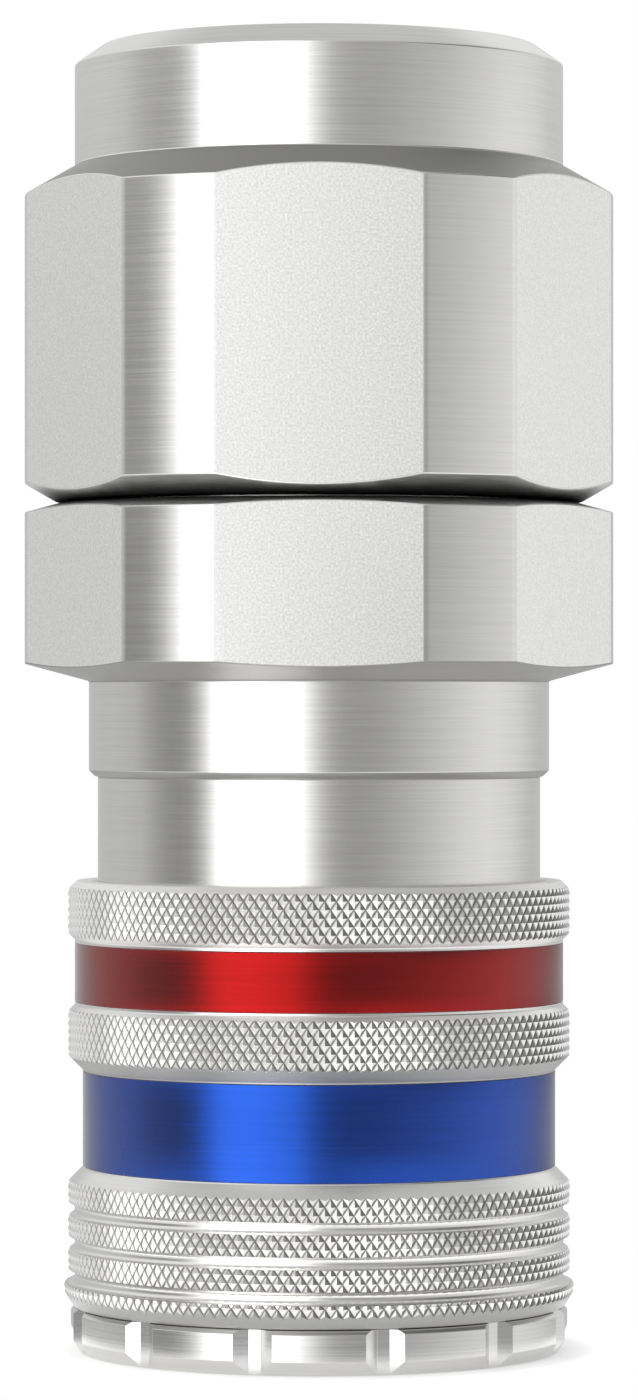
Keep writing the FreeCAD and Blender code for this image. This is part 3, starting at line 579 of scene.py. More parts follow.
# %% Turn the bands
BAND_PLAY = 0.01
BAND_EDGE = 0.03
BAND_STEPS = 256
for name, face, foot, top, margin in (
    ("blue_band", BLUE_FACE, BLUE_START, BLUE_END, BLUE_MARGIN),
    ("red_band", RED_FACE, RED_START, RED_END, RED_MARGIN),
):
    low, high = foot + margin + BAND_PLAY, top - margin - BAND_PLAY
    inner = face - BAND_THICKNESS + BAND_PLAY
    outline = [(inner, low), (face, low), (face, high), (inner, high)]
    band = lathe(name + "_skin", outline, steps=BAND_STEPS)
    break_edges(band, BAND_EDGE)
    hand_over(band, "sleeve", name, slot=name.replace("band", "lacquer"))

# %% [markdown]
# ## Threads
#
# The nut runs on the adapter's neck with a pitch of 1.5 mm. A thread could be a stack of rings, but then
# it would not climb. Here a ridge is a small trapezium swept along a screw line, which the Screw modifier
# does. The neck's ridge and the nut's ridge lie half a pitch apart, so the two pass each other as the nut
# turns.

# %% Thread ridges on the neck and in the nut
PITCH = 1.5
RIDGE_ROOT, RIDGE_CREST = 0.55, 0.1
RIDGE_HEIGHT, RIDGE_SUNK = 0.42, 0.05
NECK_RUN_OUT, NECK_TURNS = 1.4, 4.5
NUT_RUN_IN, NUT_TURNS = 2.0, 5
STEPS_A_TURN = 96


def thread(name, base, crest, foot, turns):
    """Ridge of trapezium section along a right-hand screw line."""
    piece = start(name, bpy.ops.mesh.primitive_plane_add, size=1)
    mesh = edit(piece)
    corners = [Vector((base, 0, foot - RIDGE_ROOT)), Vector((base, 0, foot + RIDGE_ROOT)),
               Vector((crest, 0, foot + RIDGE_CREST)), Vector((crest, 0, foot - RIDGE_CREST))]
    for vertex, corner in zip(mesh.faces[:][0].verts, corners):
        vertex.co = corner
    bmesh.update_edit_mesh(piece.data)
    bpy.ops.mesh.select_all(action="SELECT")
    bpy.ops.mesh.delete(type="ONLY_FACE")
    steps = int(STEPS_A_TURN * turns)
    apply_modifier(piece, "SCREW", axis="Z", angle=2 * math.pi * turns, screw_offset=PITCH * turns,
                   steps=steps, render_steps=steps, use_smooth_shade=True)
    select(piece, "EDGE", lambda edge: edge.is_boundary)
    bpy.ops.mesh.fill_holes(sides=4)
    tidy_shell(piece, merge=0.0001)
    return piece


neck_thread = thread("neck_thread", base=NECK - RIDGE_SUNK, crest=NECK + RIDGE_HEIGHT,
                     foot=FLANGE_TOP + NECK_RUN_OUT, turns=NECK_TURNS)
hand_over(neck_thread, "housing", slot="plated_steel")
nut_thread = thread("nut_thread", base=THREAD_BORE + RIDGE_SUNK, crest=THREAD_BORE - RIDGE_HEIGHT,
                    foot=NUT_FOOT + NUT_RUN_IN, turns=NUT_TURNS)
hand_over(nut_thread, "nut", slot="plated_steel")

# %% [markdown]
# ## Springs
#
# Both springs are wound from round wire: one closed coil at each end, free coils between, and ground
# flat at the ends. A curve with a round bevel could be the wire, but its ends would stay round. So the
# wire's section is swept by the Screw modifier in three stretches, which are joined, and two bisecting
# planes grind the ends.

# %% Wind a spring
WIRE_SIDES = 14
STEPS_A_COIL = 64
END_COIL_PITCH = 1.1


def wire_stretch(name, coil, wire, low, rise, turns):
    """Open tube of round wire along one stretch of a screw line."""
    part = start(name, bpy.ops.mesh.primitive_circle_add, vertices=WIRE_SIDES, radius=wire / 2)
    edit(part)
    bpy.ops.mesh.select_all(action="SELECT")
    bpy.ops.transform.rotate(value=math.pi / 2, orient_axis="X", center_override=(0, 0, 0))
    bpy.ops.transform.translate(value=(coil, 0, low))
    apply_modifier(part, "SCREW", axis="Z", angle=2 * math.pi * turns, screw_offset=rise,
                   steps=STEPS_A_COIL * turns, render_steps=STEPS_A_COIL * turns, use_smooth_shade=True)
    return part


def wound_spring(name, coil, wire, foot, top, free_coils):
    """Compression spring with closed, ground ends."""
    end_rise = wire * END_COIL_PITCH
    stretches = [(foot, end_rise, 1), (foot + end_rise, top - foot - 2 * end_rise, free_coils),
                 (top - end_rise, end_rise, 1)]
    parts = [wire_stretch(name, coil, wire, *stretch) for stretch in stretches]
    spring = parts[0]
    pick(spring)
    for part in parts:
        part.select_set(True)
    bpy.ops.object.join()
    tidy_shell(spring, merge=0.002)
    select(spring, "EDGE", lambda edge: edge.is_boundary)
    bpy.ops.mesh.edge_face_add()
    for height, facing in ((foot, -1), (top, 1)):
        edit(spring)
        bpy.ops.mesh.select_all(action="SELECT")
        bpy.ops.mesh.bisect(plane_co=(0, 0, height), plane_no=(0, 0, facing), use_fill=True,
                            clear_outer=True)
    tidy_shell(spring, merge=0.0001)
    return spring


# %% [markdown]
# ## The sleeve's spring and the valve's spring
#
# The wide spring pushes the sleeve down to the front ring, and the narrow one pushes the valve on its
# seat. When the sleeve or the valve moves, its spring gets shorter. Here each spring rides on its body
# as a rigid piece with a mesh of its own.

# %% Wind both springs
sleeve_spring = wound_spring("sleeve_spring_wire", coil=10.2, wire=1.2, foot=10.92, top=25.17,
                             free_coils=2)
hand_over(sleeve_spring, "spring", "sleeve_spring", slot="spring_steel")
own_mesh(sleeve_spring)
valve_spring = wound_spring("valve_spring_wire", coil=2.6, wire=0.8, foot=22.02, top=32.97,
                            free_coils=4)
hand_over(valve_spring, "housing", "valve_spring", slot="spring_steel")
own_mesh(valve_spring)

# %% [markdown]
# ## Finishes
#
# Every finish is a small tree of nodes on one Principled shader. They all read Object coordinates, which
# here are the coupling's own metres, so a turning line that is drawn every tenth of a millimetre is a
# tenth of a millimetre on every piece. Image textures would need unwrapping and would show their pixels
# close up, so the grain is always a stretched noise.

# %% A new finish and its grain
def new_node(tree, kind, **settings):
    """Add a node; each setting is one of its inputs or else one of its properties."""
    node = tree.nodes.new("ShaderNode" + kind)
    for key, value in settings.items():
        if key in node.inputs:
            node.inputs[key].default_value = value
        else:
            setattr(node, key, value)
    return node


def new_finish(name, metallic):
    """Material with a Principled shader; returns the material, its shader and two helpers."""
    material = bpy.data.materials.new(name)
    material.use_nodes = True
    tree = material.node_tree
    shader = tree.nodes["Principled BSDF"]
    shader.inputs["Metallic"].default_value = metallic

    def add(kind, **settings):
        return new_node(tree, kind, **settings)

    def link(source, target):
        tree.links.new(source, target)

    return material, shader, add, link


def pattern(add, link, stretch, detail, roughness=0.55):
    """Noise on Object coordinates, stretched per axis: grains per metre along x, y and z."""
    place = add("TexCoord")
    mapping = add("Mapping", Scale=stretch)
    noise = add("TexNoise", Scale=1.0, Detail=detail, Roughness=roughness)
    link(place.outputs["Object"], mapping.inputs["Vector"])
    link(mapping.outputs["Vector"], noise.inputs["Vector"])
    return noise.outputs["Fac"]


# %% [markdown]
# ## From grain to colour, gloss and relief
#
# One noise feeds three things at once: a slight change of colour, a slight change of roughness and a
# relief of a few thousandths of a millimetre. On the real surface they come from the same tool marks,
# and three unrelated noises would look like dirt.

# %% Colour, gloss and relief
def spread(add, link, source, low, high, from_low=0.3, from_high=0.7):
    """Map a noise, or another value, to a range of values."""
    node = add("MapRange")
    ends = {"From Min": from_low, "From Max": from_high, "To Min": low, "To Max": high}
    for key, value in ends.items():
        node.inputs[key].default_value = value
    link(source, node.inputs["Value"])
    return node.outputs["Result"]


def two_tones(add, link, source, first, second, low=0.3, high=0.7):
    """Colour ramp between two tones."""
    ramp = add("ValToRGB")
    ramp.color_ramp.elements[0].position, ramp.color_ramp.elements[0].color = low, (*first, 1)
    ramp.color_ramp.elements[1].position, ramp.color_ramp.elements[1].color = high, (*second, 1)
    link(source, ramp.inputs["Fac"])
    return ramp.outputs["Color"]


def relief(add, link, source, height, strength):
    """Bump of a given height in metres."""
    bump = add("Bump", Strength=strength, Distance=height)
    link(source, bump.inputs["Height"])
    return bump.outputs["Normal"]


# %% [markdown]
# ## Turned steel
#
# The plating follows the fine lines of the lathe tool, which run round the axis. A noise that is squeezed
# a hundred times more along the axis than across it gives such lines. The same finish in several tones
# serves the collar, the guide and the matt rim of the sleeve. Its darker tones are painted shade: on the
# ring, on the coarse cones and on the undersides.

# %% Turned plating in its tones
def turned_steel(name, tone, rough, line_strength):
    """Plated steel with fine lines left by the lathe tool."""
    material, shader, add, link = new_finish(name, metallic=1.0)
    lines = pattern(add, link, (110, 110, 10000), detail=4, roughness=0.7)
    dark = [0.92 * value for value in tone]
    link(two_tones(add, link, lines, dark, tone, 0.32, 0.62), shader.inputs["Base Color"])
    link(spread(add, link, lines, rough * 0.85, rough * 1.2), shader.inputs["Roughness"])
    link(relief(add, link, lines, 5e-6, line_strength), shader.inputs["Normal"])
    return material


turned_plating = turned_steel("turned_plating", (0.79, 0.785, 0.77), rough=0.19, line_strength=0.12)
brushed_plating = turned_steel("brushed_plating", (0.72, 0.715, 0.70), rough=0.18, line_strength=0.2)
# Painted shade: a darker copy of the turned plating for the whole ring.
ring_shade_plating = turned_steel("ring_shade_plating", (0.68, 0.676, 0.663), rough=0.19, line_strength=0.12)
# Painted shade: a dark tone on the rougher cones beside the collar, the shoulder and the flange.
coarse_shade_plating = turned_steel("coarse_shade_plating", (0.37, 0.368, 0.362), rough=0.42, line_strength=0.2)
satin_plating = turned_steel("satin_plating", (0.93, 0.925, 0.91), rough=0.5, line_strength=0.2)
# Painted shade: a dark tone on the sleeve's down-facing chamfers.
underside_shade_plating = turned_steel("underside_shade_plating", (0.41, 0.408, 0.40), rough=0.36, line_strength=0.2)
print("turned finishes:", turned_plating.name, brushed_plating.name, ring_shade_plating.name,
      coarse_shade_plating.name, satin_plating.name, underside_shade_plating.name)

# %% [markdown]
# ## Milled flats
#
# The flats are paler than the turned faces and have a fine frosted grain in place of lines. The noise is
# the same, but it is squeezed alike along all three axes.

# %% Milled plating
def milled_steel(name, dark, pale):
    """Plated flats with a fine frosted grain."""
    material, shader, add, link = new_finish(name, metallic=1.0)
    grain = pattern(add, link, (7500, 7500, 7500), detail=3)
    link(two_tones(add, link, grain, dark, pale), shader.inputs["Base Color"])
    link(spread(add, link, grain, 0.19, 0.25), shader.inputs["Roughness"])
    link(relief(add, link, grain, 4e-6, 0.25), shader.inputs["Normal"])
    return material


milled_plating = milled_steel("milled_plating", (0.79, 0.787, 0.775), (0.97, 0.967, 0.955))
print("milled finish:", milled_plating.name)

# %% [markdown]
# ## Painted shade in grooves and gaps
#
# The bottom of the knurl and the gap between nut and flange get painted shade: the steel's colour is
# darker there. The distance from the axis says how deep a point lies, and a ramp over that distance goes
# from the painted shade tone to the bare one. Painting each groove by hand would need a texture and a
# long day.

# %% Painted shade: plating that darkens towards the axis
# Painted shade: the colour at the bottom of the knurl's grooves.
GROOVE_SHADE_TONE = (0.20, 0.198, 0.194)
POINT_TONE = (0.72, 0.716, 0.703)
DARK_DEPTH, BARE_DEPTH = 0.17, 0.11


def painted_shade_steel(name, inner, outer, low, high, rough):
    """Plated steel whose colour goes from a painted shade tone to another between two radii in
    millimetres.
    """
    material, shader, add, link = new_finish(name, metallic=1.0)
    place = add("TexCoord")
    level = add("VectorMath", operation="MULTIPLY")
    level.inputs[1].default_value = (1, 1, 0)
    reach = add("VectorMath", operation="LENGTH")
    link(place.outputs["Object"], level.inputs[0])
    link(level.outputs["Vector"], reach.inputs[0])
    outwards = spread(add, link, reach.outputs["Value"], 0, 1, low * MILLIMETRE, high * MILLIMETRE)
    link(two_tones(add, link, outwards, inner, outer, 0, 1), shader.inputs["Base Color"])
    grain = pattern(add, link, (900, 900, 9000), detail=3)
    link(spread(add, link, grain, rough * 0.85, rough * 1.15), shader.inputs["Roughness"])
    link(relief(add, link, grain, 5e-6, 0.15), shader.inputs["Normal"])
    return material


# Painted shade in the gap between nut and flange: near black at its inner edge.
gap_shade_plating = painted_shade_steel("gap_shade_plating", (0.03, 0.03, 0.03), (0.62, 0.617, 0.61),
                              low=15.0, high=16.6, rough=0.42)
# Painted shade at the bottom of the knurl's grooves, on the grips and on the foot rib.
knurl_shade_plating = painted_shade_steel("knurl_shade_plating", GROOVE_SHADE_TONE, POINT_TONE,
                             low=GRIP - DARK_DEPTH, high=GRIP - BARE_DEPTH, rough=0.18)
foot_knurl_shade_plating = painted_shade_steel("foot_knurl_shade_plating", GROOVE_SHADE_TONE, POINT_TONE,
                                  low=FOOT_RIB - DARK_DEPTH, high=FOOT_RIB - BARE_DEPTH, rough=0.18)
print("darkened finishes:", gap_shade_plating.name, knurl_shade_plating.name, foot_knurl_shade_plating.name)

# %% [markdown]
# ## Lacquer on the bands
#
# The bands are brushed metal under a clear tinted lacquer: the light on them is coloured, sharp along the
# axis and a little streaked. A tinted metal with lines round the band gives that. A sheen adds the pale
# bloom near the edges, where the lacquer is seen at a slant.

# %% Red and blue lacquer
def lacquer(name, tone):
    """Tinted lacquer over brushed metal, whose lines run round the band."""
    material, shader, add, link = new_finish(name, metallic=1.0)
    lines = pattern(add, link, (90, 90, 7000), detail=3)
    deep = [0.86 * value for value in tone]
    link(two_tones(add, link, lines, deep, tone), shader.inputs["Base Color"])
    link(spread(add, link, lines, 0.17, 0.23), shader.inputs["Roughness"])
    link(relief(add, link, lines, 4e-6, 0.6), shader.inputs["Normal"])
    shader.inputs["Specular Tint"].default_value = (0.5, 0.5, 0.5, 1)
    shader.inputs["Sheen Weight"].default_value = 0.45
    shader.inputs["Sheen Roughness"].default_value = 0.48
    return material


red_lacquer = lacquer("red_lacquer_finish", (0.29, 0.0055, 0.0053))
blue_lacquer = lacquer("blue_lacquer_finish", (0.013, 0.066, 0.385))
print("lacquers:", red_lacquer.name, blue_lacquer.name)

# %% [markdown]
# ## Rubber, brass, springs, balls and polymer
#
# The pieces inside are seen only through the mouth or the hose end. Two close tones, a gloss and a grain
# of the right size are enough for each, so they share one function.

# %% Finishes of the inner pieces
def plain_finish(name, first, second, rough, metallic, stretch, height, strength):
    """Two close tones and a fine relief of one grain."""
    material, shader, add, link = new_finish(name, metallic)
    grain = pattern(add, link, stretch, detail=3)
    link(two_tones(add, link, grain, first, second), shader.inputs["Base Color"])
    link(spread(add, link, grain, rough * 0.85, rough * 1.2), shader.inputs["Roughness"])
    link(relief(add, link, grain, height, strength), shader.inputs["Normal"])
    return material


seal_rubber = plain_finish("seal_rubber_finish", (0.012, 0.012, 0.013), (0.03, 0.03, 0.03), rough=0.5,
                           metallic=0.0, stretch=(2600, 2600, 2600), height=6e-6, strength=0.4)
valve_brass = plain_finish("valve_brass_finish", (0.62, 0.43, 0.17), (0.72, 0.52, 0.24), rough=0.27,
                           metallic=1.0, stretch=(150, 150, 8000), height=5e-6, strength=0.3)
spring_steel = plain_finish("spring_steel_finish", (0.36, 0.36, 0.37), (0.52, 0.52, 0.53), rough=0.3,
                            metallic=1.0, stretch=(1500, 1500, 1500), height=4e-6, strength=0.3)
ball_steel = plain_finish("ball_steel_finish", (0.60, 0.60, 0.61), (0.68, 0.68, 0.68), rough=0.1,
                          metallic=1.0, stretch=(900, 900, 900), height=1e-6, strength=0.1)
clamp_polymer = plain_finish("clamp_polymer_finish", (0.66, 0.65, 0.60), (0.74, 0.73, 0.69), rough=0.42,
                             metallic=0.0, stretch=(1800, 1800, 1800), height=5e-6, strength=0.3)
print("inner finishes:", seal_rubber.name, valve_brass.name, spring_steel.name, ball_steel.name,
      clamp_polymer.name)

# %% [markdown]
# ## Dressing the sleeve
#
# One piece can carry several finishes, face by face. By hand the faces would be selected and assigned in
# edit mode. Here a small rule looks at each face: a knurl's facet is turned sideways from the axis, an
# underside slopes down, and the rim is what slopes up at the top.

# %% Dress the sleeve
SLOPED = 0.3
NEAR = 0.1
FACET_TURN = 0.15
FOOT_KNURL_TOP = 4.3
FOOT_EDGE_TOP = SLEEVE_FOOT + 0.8
RIM_FOOT = SLEEVE_TOP - 0.6


def dress(piece, *materials):
    """Give a piece these finishes, in this order, in place of those that it has."""
    piece.data.materials.clear()
    for material in materials:
        piece.data.materials.append(material)


def dress_faces(piece, choose, *materials):
    """Give each face the finish that choose picks by its height and its reach from the axis, in mm."""
    dress(piece, *materials)
    for face in piece.data.polygons:
        height = face.center.z / MILLIMETRE
        reach = math.hypot(face.center.x, face.center.y) / MILLIMETRE
        face.material_index = materials.index(choose(face, height, reach))
    print(f"{piece.name}: dressed in", [material.name for material in materials])


def sleeve_finish(face, height, reach):
    """Undersides and the knurl's grooves get painted shade, and the rim has its own finish."""
    sideways = abs(face.normal.x * face.center.y - face.normal.y * face.center.x) / MILLIMETRE
    on_underside = height < FOOT_EDGE_TOP or BLUE_END - NEAR < height < LOWER_KNURL_FOOT
    # Painted shade on the down-facing chamfers.
    if face.normal.z < -SLOPED and on_underside:
        return underside_shade_plating
    if sideways > FACET_TURN * reach:
        return knurl_shade_plating if height > FOOT_KNURL_TOP else foot_knurl_shade_plating
    if face.normal.z > SLOPED and height > RIM_FOOT:
        return satin_plating
    return turned_plating


dress_faces(locking_sleeve, sleeve_finish,
            turned_plating, knurl_shade_plating, foot_knurl_shade_plating, satin_plating, underside_shade_plating)

# %% [markdown]
# ## Dressing nut and adapter
#
# The flats are the only large upright faces, so their area tells them apart. The cones towards the collar
# and under the shoulder and the flange are left coarse from turning and get a darker tone, which is
# painted shade. The two cones that face each other across the gap between nut and flange get a painted
# shade that darkens towards it.

# %% Dress the nut and the adapter
FLAT_AREA = 5e-5
UPRIGHT = 0.01
GAP_CONE_TOP = NUT_FOOT + 1.3
GAP_CONE_FOOT = FLANGE_TOP - 0.6


def is_flat(face):
    """True for the large upright faces of the hexagon."""
    return abs(face.normal.z) < UPRIGHT and face.area > FLAT_AREA


def nut_finish(face, height, reach):
    """Flats, upper cone and lower cone of the nut."""
    if is_flat(face):
        return milled_plating
    # Coarse cone below the collar, with painted shade.
    if face.normal.z > SLOPED and reach > COLLAR and height < COLLAR_FOOT + NEAR:
        return coarse_shade_plating
    # Painted shade on the nut's cone above the gap.
    if face.normal.z < -SLOPED and height < GAP_CONE_TOP:
        return gap_shade_plating
    return turned_plating


def adapter_finish(face, height, reach):
    """Flats, lower cones and upper cone of the adapter."""
    if is_flat(face):
        return milled_plating
    # Coarse cones under the shoulder and the flange, with painted shade.
    if face.normal.z < -SLOPED and reach > GUIDE and height > STEP_HEIGHT - NEAR:
        return coarse_shade_plating
    # Painted shade on the flange's cone below the gap.
    if face.normal.z > SLOPED and reach > NECK and height > GAP_CONE_FOOT:
        return gap_shade_plating
    return brushed_plating


dress_faces(hose_nut, nut_finish, turned_plating, milled_plating, coarse_shade_plating, gap_shade_plating)
dress_faces(hose_adapter, adapter_finish, brushed_plating, milled_plating, coarse_shade_plating, gap_shade_plating)

# %% [markdown]
# ## Dressing the rest
#
# The other pieces have one finish each. The CAD nodes that are kept are dressed in the same way, and
# their meshes are left alone.

# %% Dress the ring, bands, threads, springs and CAD nodes
dress(front_ring, ring_shade_plating)
dress(bpy.data.objects["red_band_skin"], red_lacquer)
dress(bpy.data.objects["blue_band_skin"], blue_lacquer)
for piece in (neck_thread, nut_thread):
    dress(piece, turned_plating)
for piece in (sleeve_spring, valve_spring):
    dress(piece, spring_steel)
node_finishes = {
    "valve_body": turned_plating, "valve_guide": valve_brass, "valve_poppet": valve_brass,
    "nipple_seal": seal_rubber, "body_seal": seal_rubber, "valve_seal": seal_rubber,
    "clamp_ring": clamp_polymer,
    **{f"lock_ball_{index}": ball_steel for index in range(1, 9)},
}
for name, material in node_finishes.items():
    dress(nodes[name], material)
print("CAD nodes dressed:", len(node_finishes))

# %% [markdown]
# ## A light tent
#
# A polished turned part shows its surroundings more than its own colour. Lamps would leave small hard
# spots on it, so the studio is a round tent that glows by itself, with one large soft window at the front
# left and greyer walls elsewhere. The camera doesn't see the tent, only the white beyond it.

# %% Put up the tent
TENT = 0.7
tent = start("tent", bpy.ops.mesh.primitive_uv_sphere_add, segments=96, ring_count=48, radius=TENT)
edit(tent)
bpy.ops.mesh.select_all(action="SELECT")
bpy.ops.mesh.flip_normals()
bpy.ops.object.mode_set(mode="OBJECT")
tent.visible_camera = False
tent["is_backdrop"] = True
print("tent:", 2 * TENT, "m across")

# %% [markdown]
# ## How bright the tent is where
#
# The levels are read off what each kind of face mirrors. Upright faces mirror the walls at their own
# height, and the window. Faces that slope up, such as the upper facets of the knurl, mirror the cloth
# above the walls, and faces that slope down mirror the cloth below them. Each is a list of compass
# directions in degrees, with 0 at the camera and 90 at its right, and the level there.

# %% Levels round the compass
WALL = (
    (-180, 0.60), (-160, 0.60), (-124, 0.66), (-104, 0.62), (-88, 0.40), (-78, 0.32), (-64, 0.34),
    (-40, 0.40), (-4, 0.42), (8, 0.44), (17, 0.40), (28, 0.43), (52, 0.64), (79, 0.90), (95, 0.99),
    (113, 0.92), (138, 0.66), (160, 0.60), (180, 0.60),
)
WINDOW = (
    (-180, 0.0), (-69, 0.0), (-62, 0.10), (-57, 0.32), (-51, 0.75), (-45, 1.0), (-30, 1.0),
    (-12, 0.72), (-4, 0.31), (1, 0.12), (6, 0.02), (12, 0.0), (180, 0.0),
)
UPPER = (
    (-180, 0.80), (-120, 0.92), (-95, 0.95), (-80, 1.0), (-60, 0.95), (-45, 0.86), (-20, 0.76),
    (0, 0.66), (15, 0.60), (30, 0.51), (45, 0.38), (60, 0.22), (85, 0.18), (105, 0.48), (150, 0.98),
    (180, 0.80),
)
LOWER = (
    (-180, 0.80), (-150, 0.95), (-115, 1.0), (-95, 0.98), (-80, 1.0), (-60, 0.84), (-45, 0.62),
    (-20, 0.52), (0, 0.70), (15, 1.0), (35, 1.15), (60, 1.2), (85, 1.2), (105, 1.1), (150, 1.0),
    (180, 0.80),
)
print("levels:", len(WALL), "wall,", len(WINDOW), "window,", len(UPPER), "upper,", len(LOWER), "lower")

# %% [markdown]
# ## Sums in a node tree
#
# The tent's glow, the floor and the world all need a few sums of sockets. Written out node by node they
# are hard to read, so small helpers stand for a sum, a soft step and a blend, and one more turns a list
# of compass levels into a colour ramp.

# %% Helpers for sums of sockets
def feed(tree, socket, value):
    """Set a socket to a number, or link another socket to it."""
    if isinstance(value, (int, float)):
        socket.default_value = value
    else:
        tree.links.new(value, socket)


def calculate(tree, operation, first, second=0):
    """Sum, product or other operation on one or two values."""
    node = new_node(tree, "Math", operation=operation)
    feed(tree, node.inputs[0], first)
    feed(tree, node.inputs[1], second)
    return node.outputs[0]


def soft_step(tree, value, start_at, end_at):
    """Zero before the first place, one after the second, and smooth between them."""
    node = new_node(tree, "MapRange", interpolation_type="SMOOTHSTEP")
    node.inputs["From Min"].default_value = start_at
    node.inputs["From Max"].default_value = end_at
    tree.links.new(value, node.inputs["Value"])
    return node.outputs["Result"]


def blend(tree, factor, first, second):
    """From the first value to the second as the factor goes from zero to one."""
    node = new_node(tree, "Mix")
    for name, value in (("Factor", factor), ("A", first), ("B", second)):
        feed(tree, node.inputs[name], value)
    return node.outputs["Result"]


def compass_ramp(tree, compass, levels):
    """Grey level by compass direction, from a list of (degrees, level)."""
    ramp = new_node(tree, "ValToRGB")
    stops = ramp.color_ramp.elements
    stops.remove(stops[-1])
    for index, (angle, level) in enumerate(levels):
        share = (angle + 180) / 360
        stop = stops[0] if index == 0 else stops.new(share)
        stop.position, stop.color = share, (level, level, level, 1)
    tree.links.new(compass, ramp.inputs["Fac"])
    return ramp.outputs["Color"]


# %% [markdown]
# ## The tent's glow
#
# A point of the tent has a compass direction and a rise above the horizon. The walls go over into the
# cloth above or below them, and that into one plain level towards the poles. The window is added on top:
# it ends well below the ceiling and reaches far down. An image of a studio would do the same, but a few
# ramps can be changed in a moment.

# %% Let the tent glow
WINDOW_LEVEL = 2.1
POLE = 0.65
HORIZON = (-0.1, 0.1)
WALL_TO_CLOTH = (math.radians(9), math.radians(23))
CLOTH_TO_POLE = (math.radians(41), math.radians(56))
WINDOW_TOP = (math.radians(36), math.radians(20))
WINDOW_FOOT = (math.radians(-78), math.radians(-62))


def tent_glow():
    """Walls, cloth and window by compass direction, plain towards the poles."""
    material = bpy.data.materials.new("tent_glow")
    material.use_nodes = True
    tree = material.node_tree
    tree.nodes.clear()
    split = new_node(tree, "SeparateXYZ")
    tree.links.new(new_node(tree, "TexCoord").outputs["Object"], split.inputs["Vector"])
    turn = calculate(tree, "ARCTAN2", split.outputs["X"],
                     calculate(tree, "MULTIPLY", split.outputs["Y"], -1))
    compass = calculate(tree, "ADD", calculate(tree, "DIVIDE", turn, 2 * math.pi), 0.5)
    rise = calculate(tree, "ARCSINE", calculate(tree, "DIVIDE", split.outputs["Z"], TENT))
    off_level = calculate(tree, "ABSOLUTE", rise)
    cloth = blend(tree, soft_step(tree, rise, *HORIZON), compass_ramp(tree, compass, LOWER),
                  compass_ramp(tree, compass, UPPER))
    around = blend(tree, soft_step(tree, off_level, *WALL_TO_CLOTH),
                   compass_ramp(tree, compass, WALL), cloth)
    plain = blend(tree, soft_step(tree, off_level, *CLOTH_TO_POLE), around, POLE)
    window = calculate(tree, "MULTIPLY", compass_ramp(tree, compass, WINDOW), WINDOW_LEVEL)
    open_part = calculate(tree, "MULTIPLY", soft_step(tree, rise, *WINDOW_TOP),
                          soft_step(tree, rise, *WINDOW_FOOT))
    total = calculate(tree, "ADD", plain, calculate(tree, "MULTIPLY", window, open_part))
    glow = new_node(tree, "Emission")
    tree.links.new(total, glow.inputs["Strength"])
    tree.links.new(glow.outputs["Emission"], new_node(tree, "OutputMaterial").inputs["Surface"])
    return material


dress(tent, tent_glow())
print("tent glow:", len(tent.data.materials[0].node_tree.nodes), "nodes")

# %% [markdown]
# ## Rays that show the background
#
# A catalogue picture has a white background, but white walls all round would wash out the steel. The
# Light Path node tells rays that show the background from rays that only carry light. So the floor and
# the world can be white where they are seen, without more light on the coupling.

# %% One where the background is seen
def seen_white(tree):
    """One for rays that show a background: from the camera, off gloss or through glass."""
    path = new_node(tree, "LightPath")
    shown = calculate(tree, "ADD", path.outputs["Is Camera Ray"], path.outputs["Is Glossy Ray"])
    shown = calculate(tree, "ADD", shown, path.outputs["Is Transmission Ray"])
    return calculate(tree, "MINIMUM", shown, 1)


# %% [markdown]
# ## The floor
#
# The coupling stands on a small white plate. The plate keeps the soft shadow round the ring's foot and
# gains its own white towards the rim, so that it runs out into the white background without an edge. It
# is clear from below, so the mouth can be looked into from there.

# %% Lay the floor
PLATE = 0.0205
PLATE_GAP = 2e-5
PLATE_WHITE = (0.35, 1.0)
PLATE_FADE = (0.0140, 0.0195)


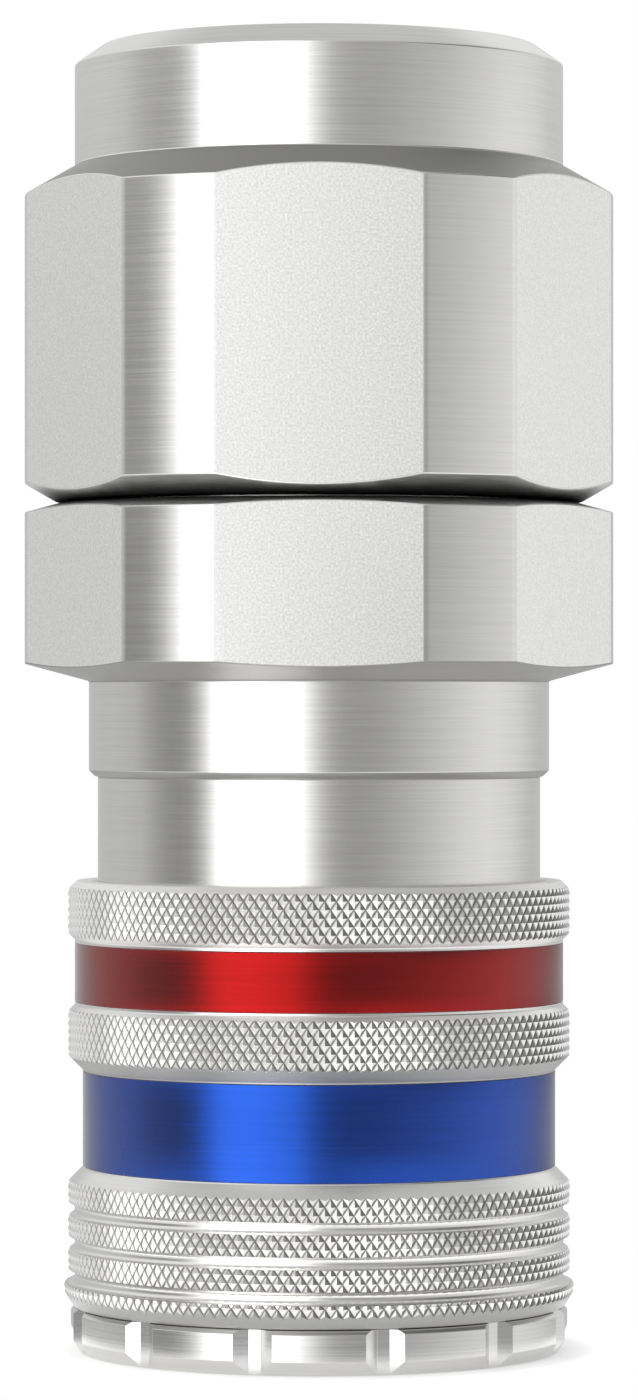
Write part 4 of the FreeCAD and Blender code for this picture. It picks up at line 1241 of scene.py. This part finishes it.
def floor_paper():
    """White paper that glows towards its rim and is clear from below."""
    material = bpy.data.materials.new("floor_paper")
    material.use_nodes = True
    tree = material.node_tree
    paper = tree.nodes["Principled BSDF"]
    paper.inputs["Base Color"].default_value = (0.9, 0.9, 0.9, 1)
    paper.inputs["Roughness"].default_value = 0.9
    paper.inputs["Specular IOR Level"].default_value = 0.1
    paper.inputs["Emission Color"].default_value = (1, 1, 1, 1)
    reach = new_node(tree, "VectorMath", operation="LENGTH")
    tree.links.new(new_node(tree, "TexCoord").outputs["Object"], reach.inputs[0])
    fade = soft_step(tree, reach.outputs["Value"], *PLATE_FADE)
    gain = calculate(tree, "ADD", calculate(tree, "MULTIPLY", fade, PLATE_WHITE[1] - PLATE_WHITE[0]),
                     PLATE_WHITE[0])
    tree.links.new(calculate(tree, "MULTIPLY", seen_white(tree), gain), paper.inputs["Emission Strength"])
    sides = new_node(tree, "MixShader")
    tree.links.new(new_node(tree, "NewGeometry").outputs["Backfacing"], sides.inputs[0])
    tree.links.new(paper.outputs["BSDF"], sides.inputs[1])
    tree.links.new(new_node(tree, "BsdfTransparent").outputs["BSDF"], sides.inputs[2])
    tree.links.new(sides.outputs["Shader"], tree.nodes["Material Output"].inputs["Surface"])
    return material


floor = start("floor", bpy.ops.mesh.primitive_circle_add, vertices=128, radius=PLATE, fill_type="NGON",
              location=(0, 0, -PLATE_GAP))
floor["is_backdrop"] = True
dress(floor, floor_paper())
print("floor:", 2 * PLATE, "m across")

# %% [markdown]
# ## The white beyond
#
# Beyond the tent and the plate is only the world. Rays that show the background see it as plain white,
# and all others get a little less from it.

# %% The world
WORLD_LIGHT, WORLD_SEEN = 0.6, 1.0

world = bpy.data.worlds.new("studio")
bpy.context.scene.world = world
world.use_nodes = True
sky = world.node_tree.nodes["Background"]
sky.inputs["Color"].default_value = (1, 1, 1, 1)
seen = calculate(world.node_tree, "MULTIPLY", seen_white(world.node_tree), WORLD_SEEN - WORLD_LIGHT)
world.node_tree.links.new(calculate(world.node_tree, "ADD", seen, WORLD_LIGHT), sky.inputs["Strength"])
print("world:", world.name)

# %% [markdown]
# ## The camera
#
# A long lens from a third of a metre away, level with the middle of the coupling, keeps its sides almost
# parallel. A wide lens close by would bend the stack of rings apart. The Standard view transform shows
# each tone as it was set, so the background stays white.

# %% Set up the camera
camera_data = bpy.data.cameras.new("camera")
camera_data.sensor_width = 36
camera_data.lens = 147.86
camera_data.clip_start = 0.01
camera = bpy.data.objects.new("camera", camera_data)
camera.location = (0, -0.3326, 0.0375)
camera.rotation_euler = (math.pi / 2, 0, 0)
bpy.context.scene.collection.objects.link(camera)
bpy.context.scene.camera = camera
bpy.context.scene.view_settings.view_transform = "Standard"
print("camera at", list(camera.location))

# %% [markdown]
# ## Is it still the right size?
#
# Blender must not change the coupling's dimensions. The box round all visible pieces is printed in
# millimetres.

# %% Print the visual model's box
low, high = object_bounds()
print("visual box in mm:", [round(1000 * side, 3) for side in high - low])
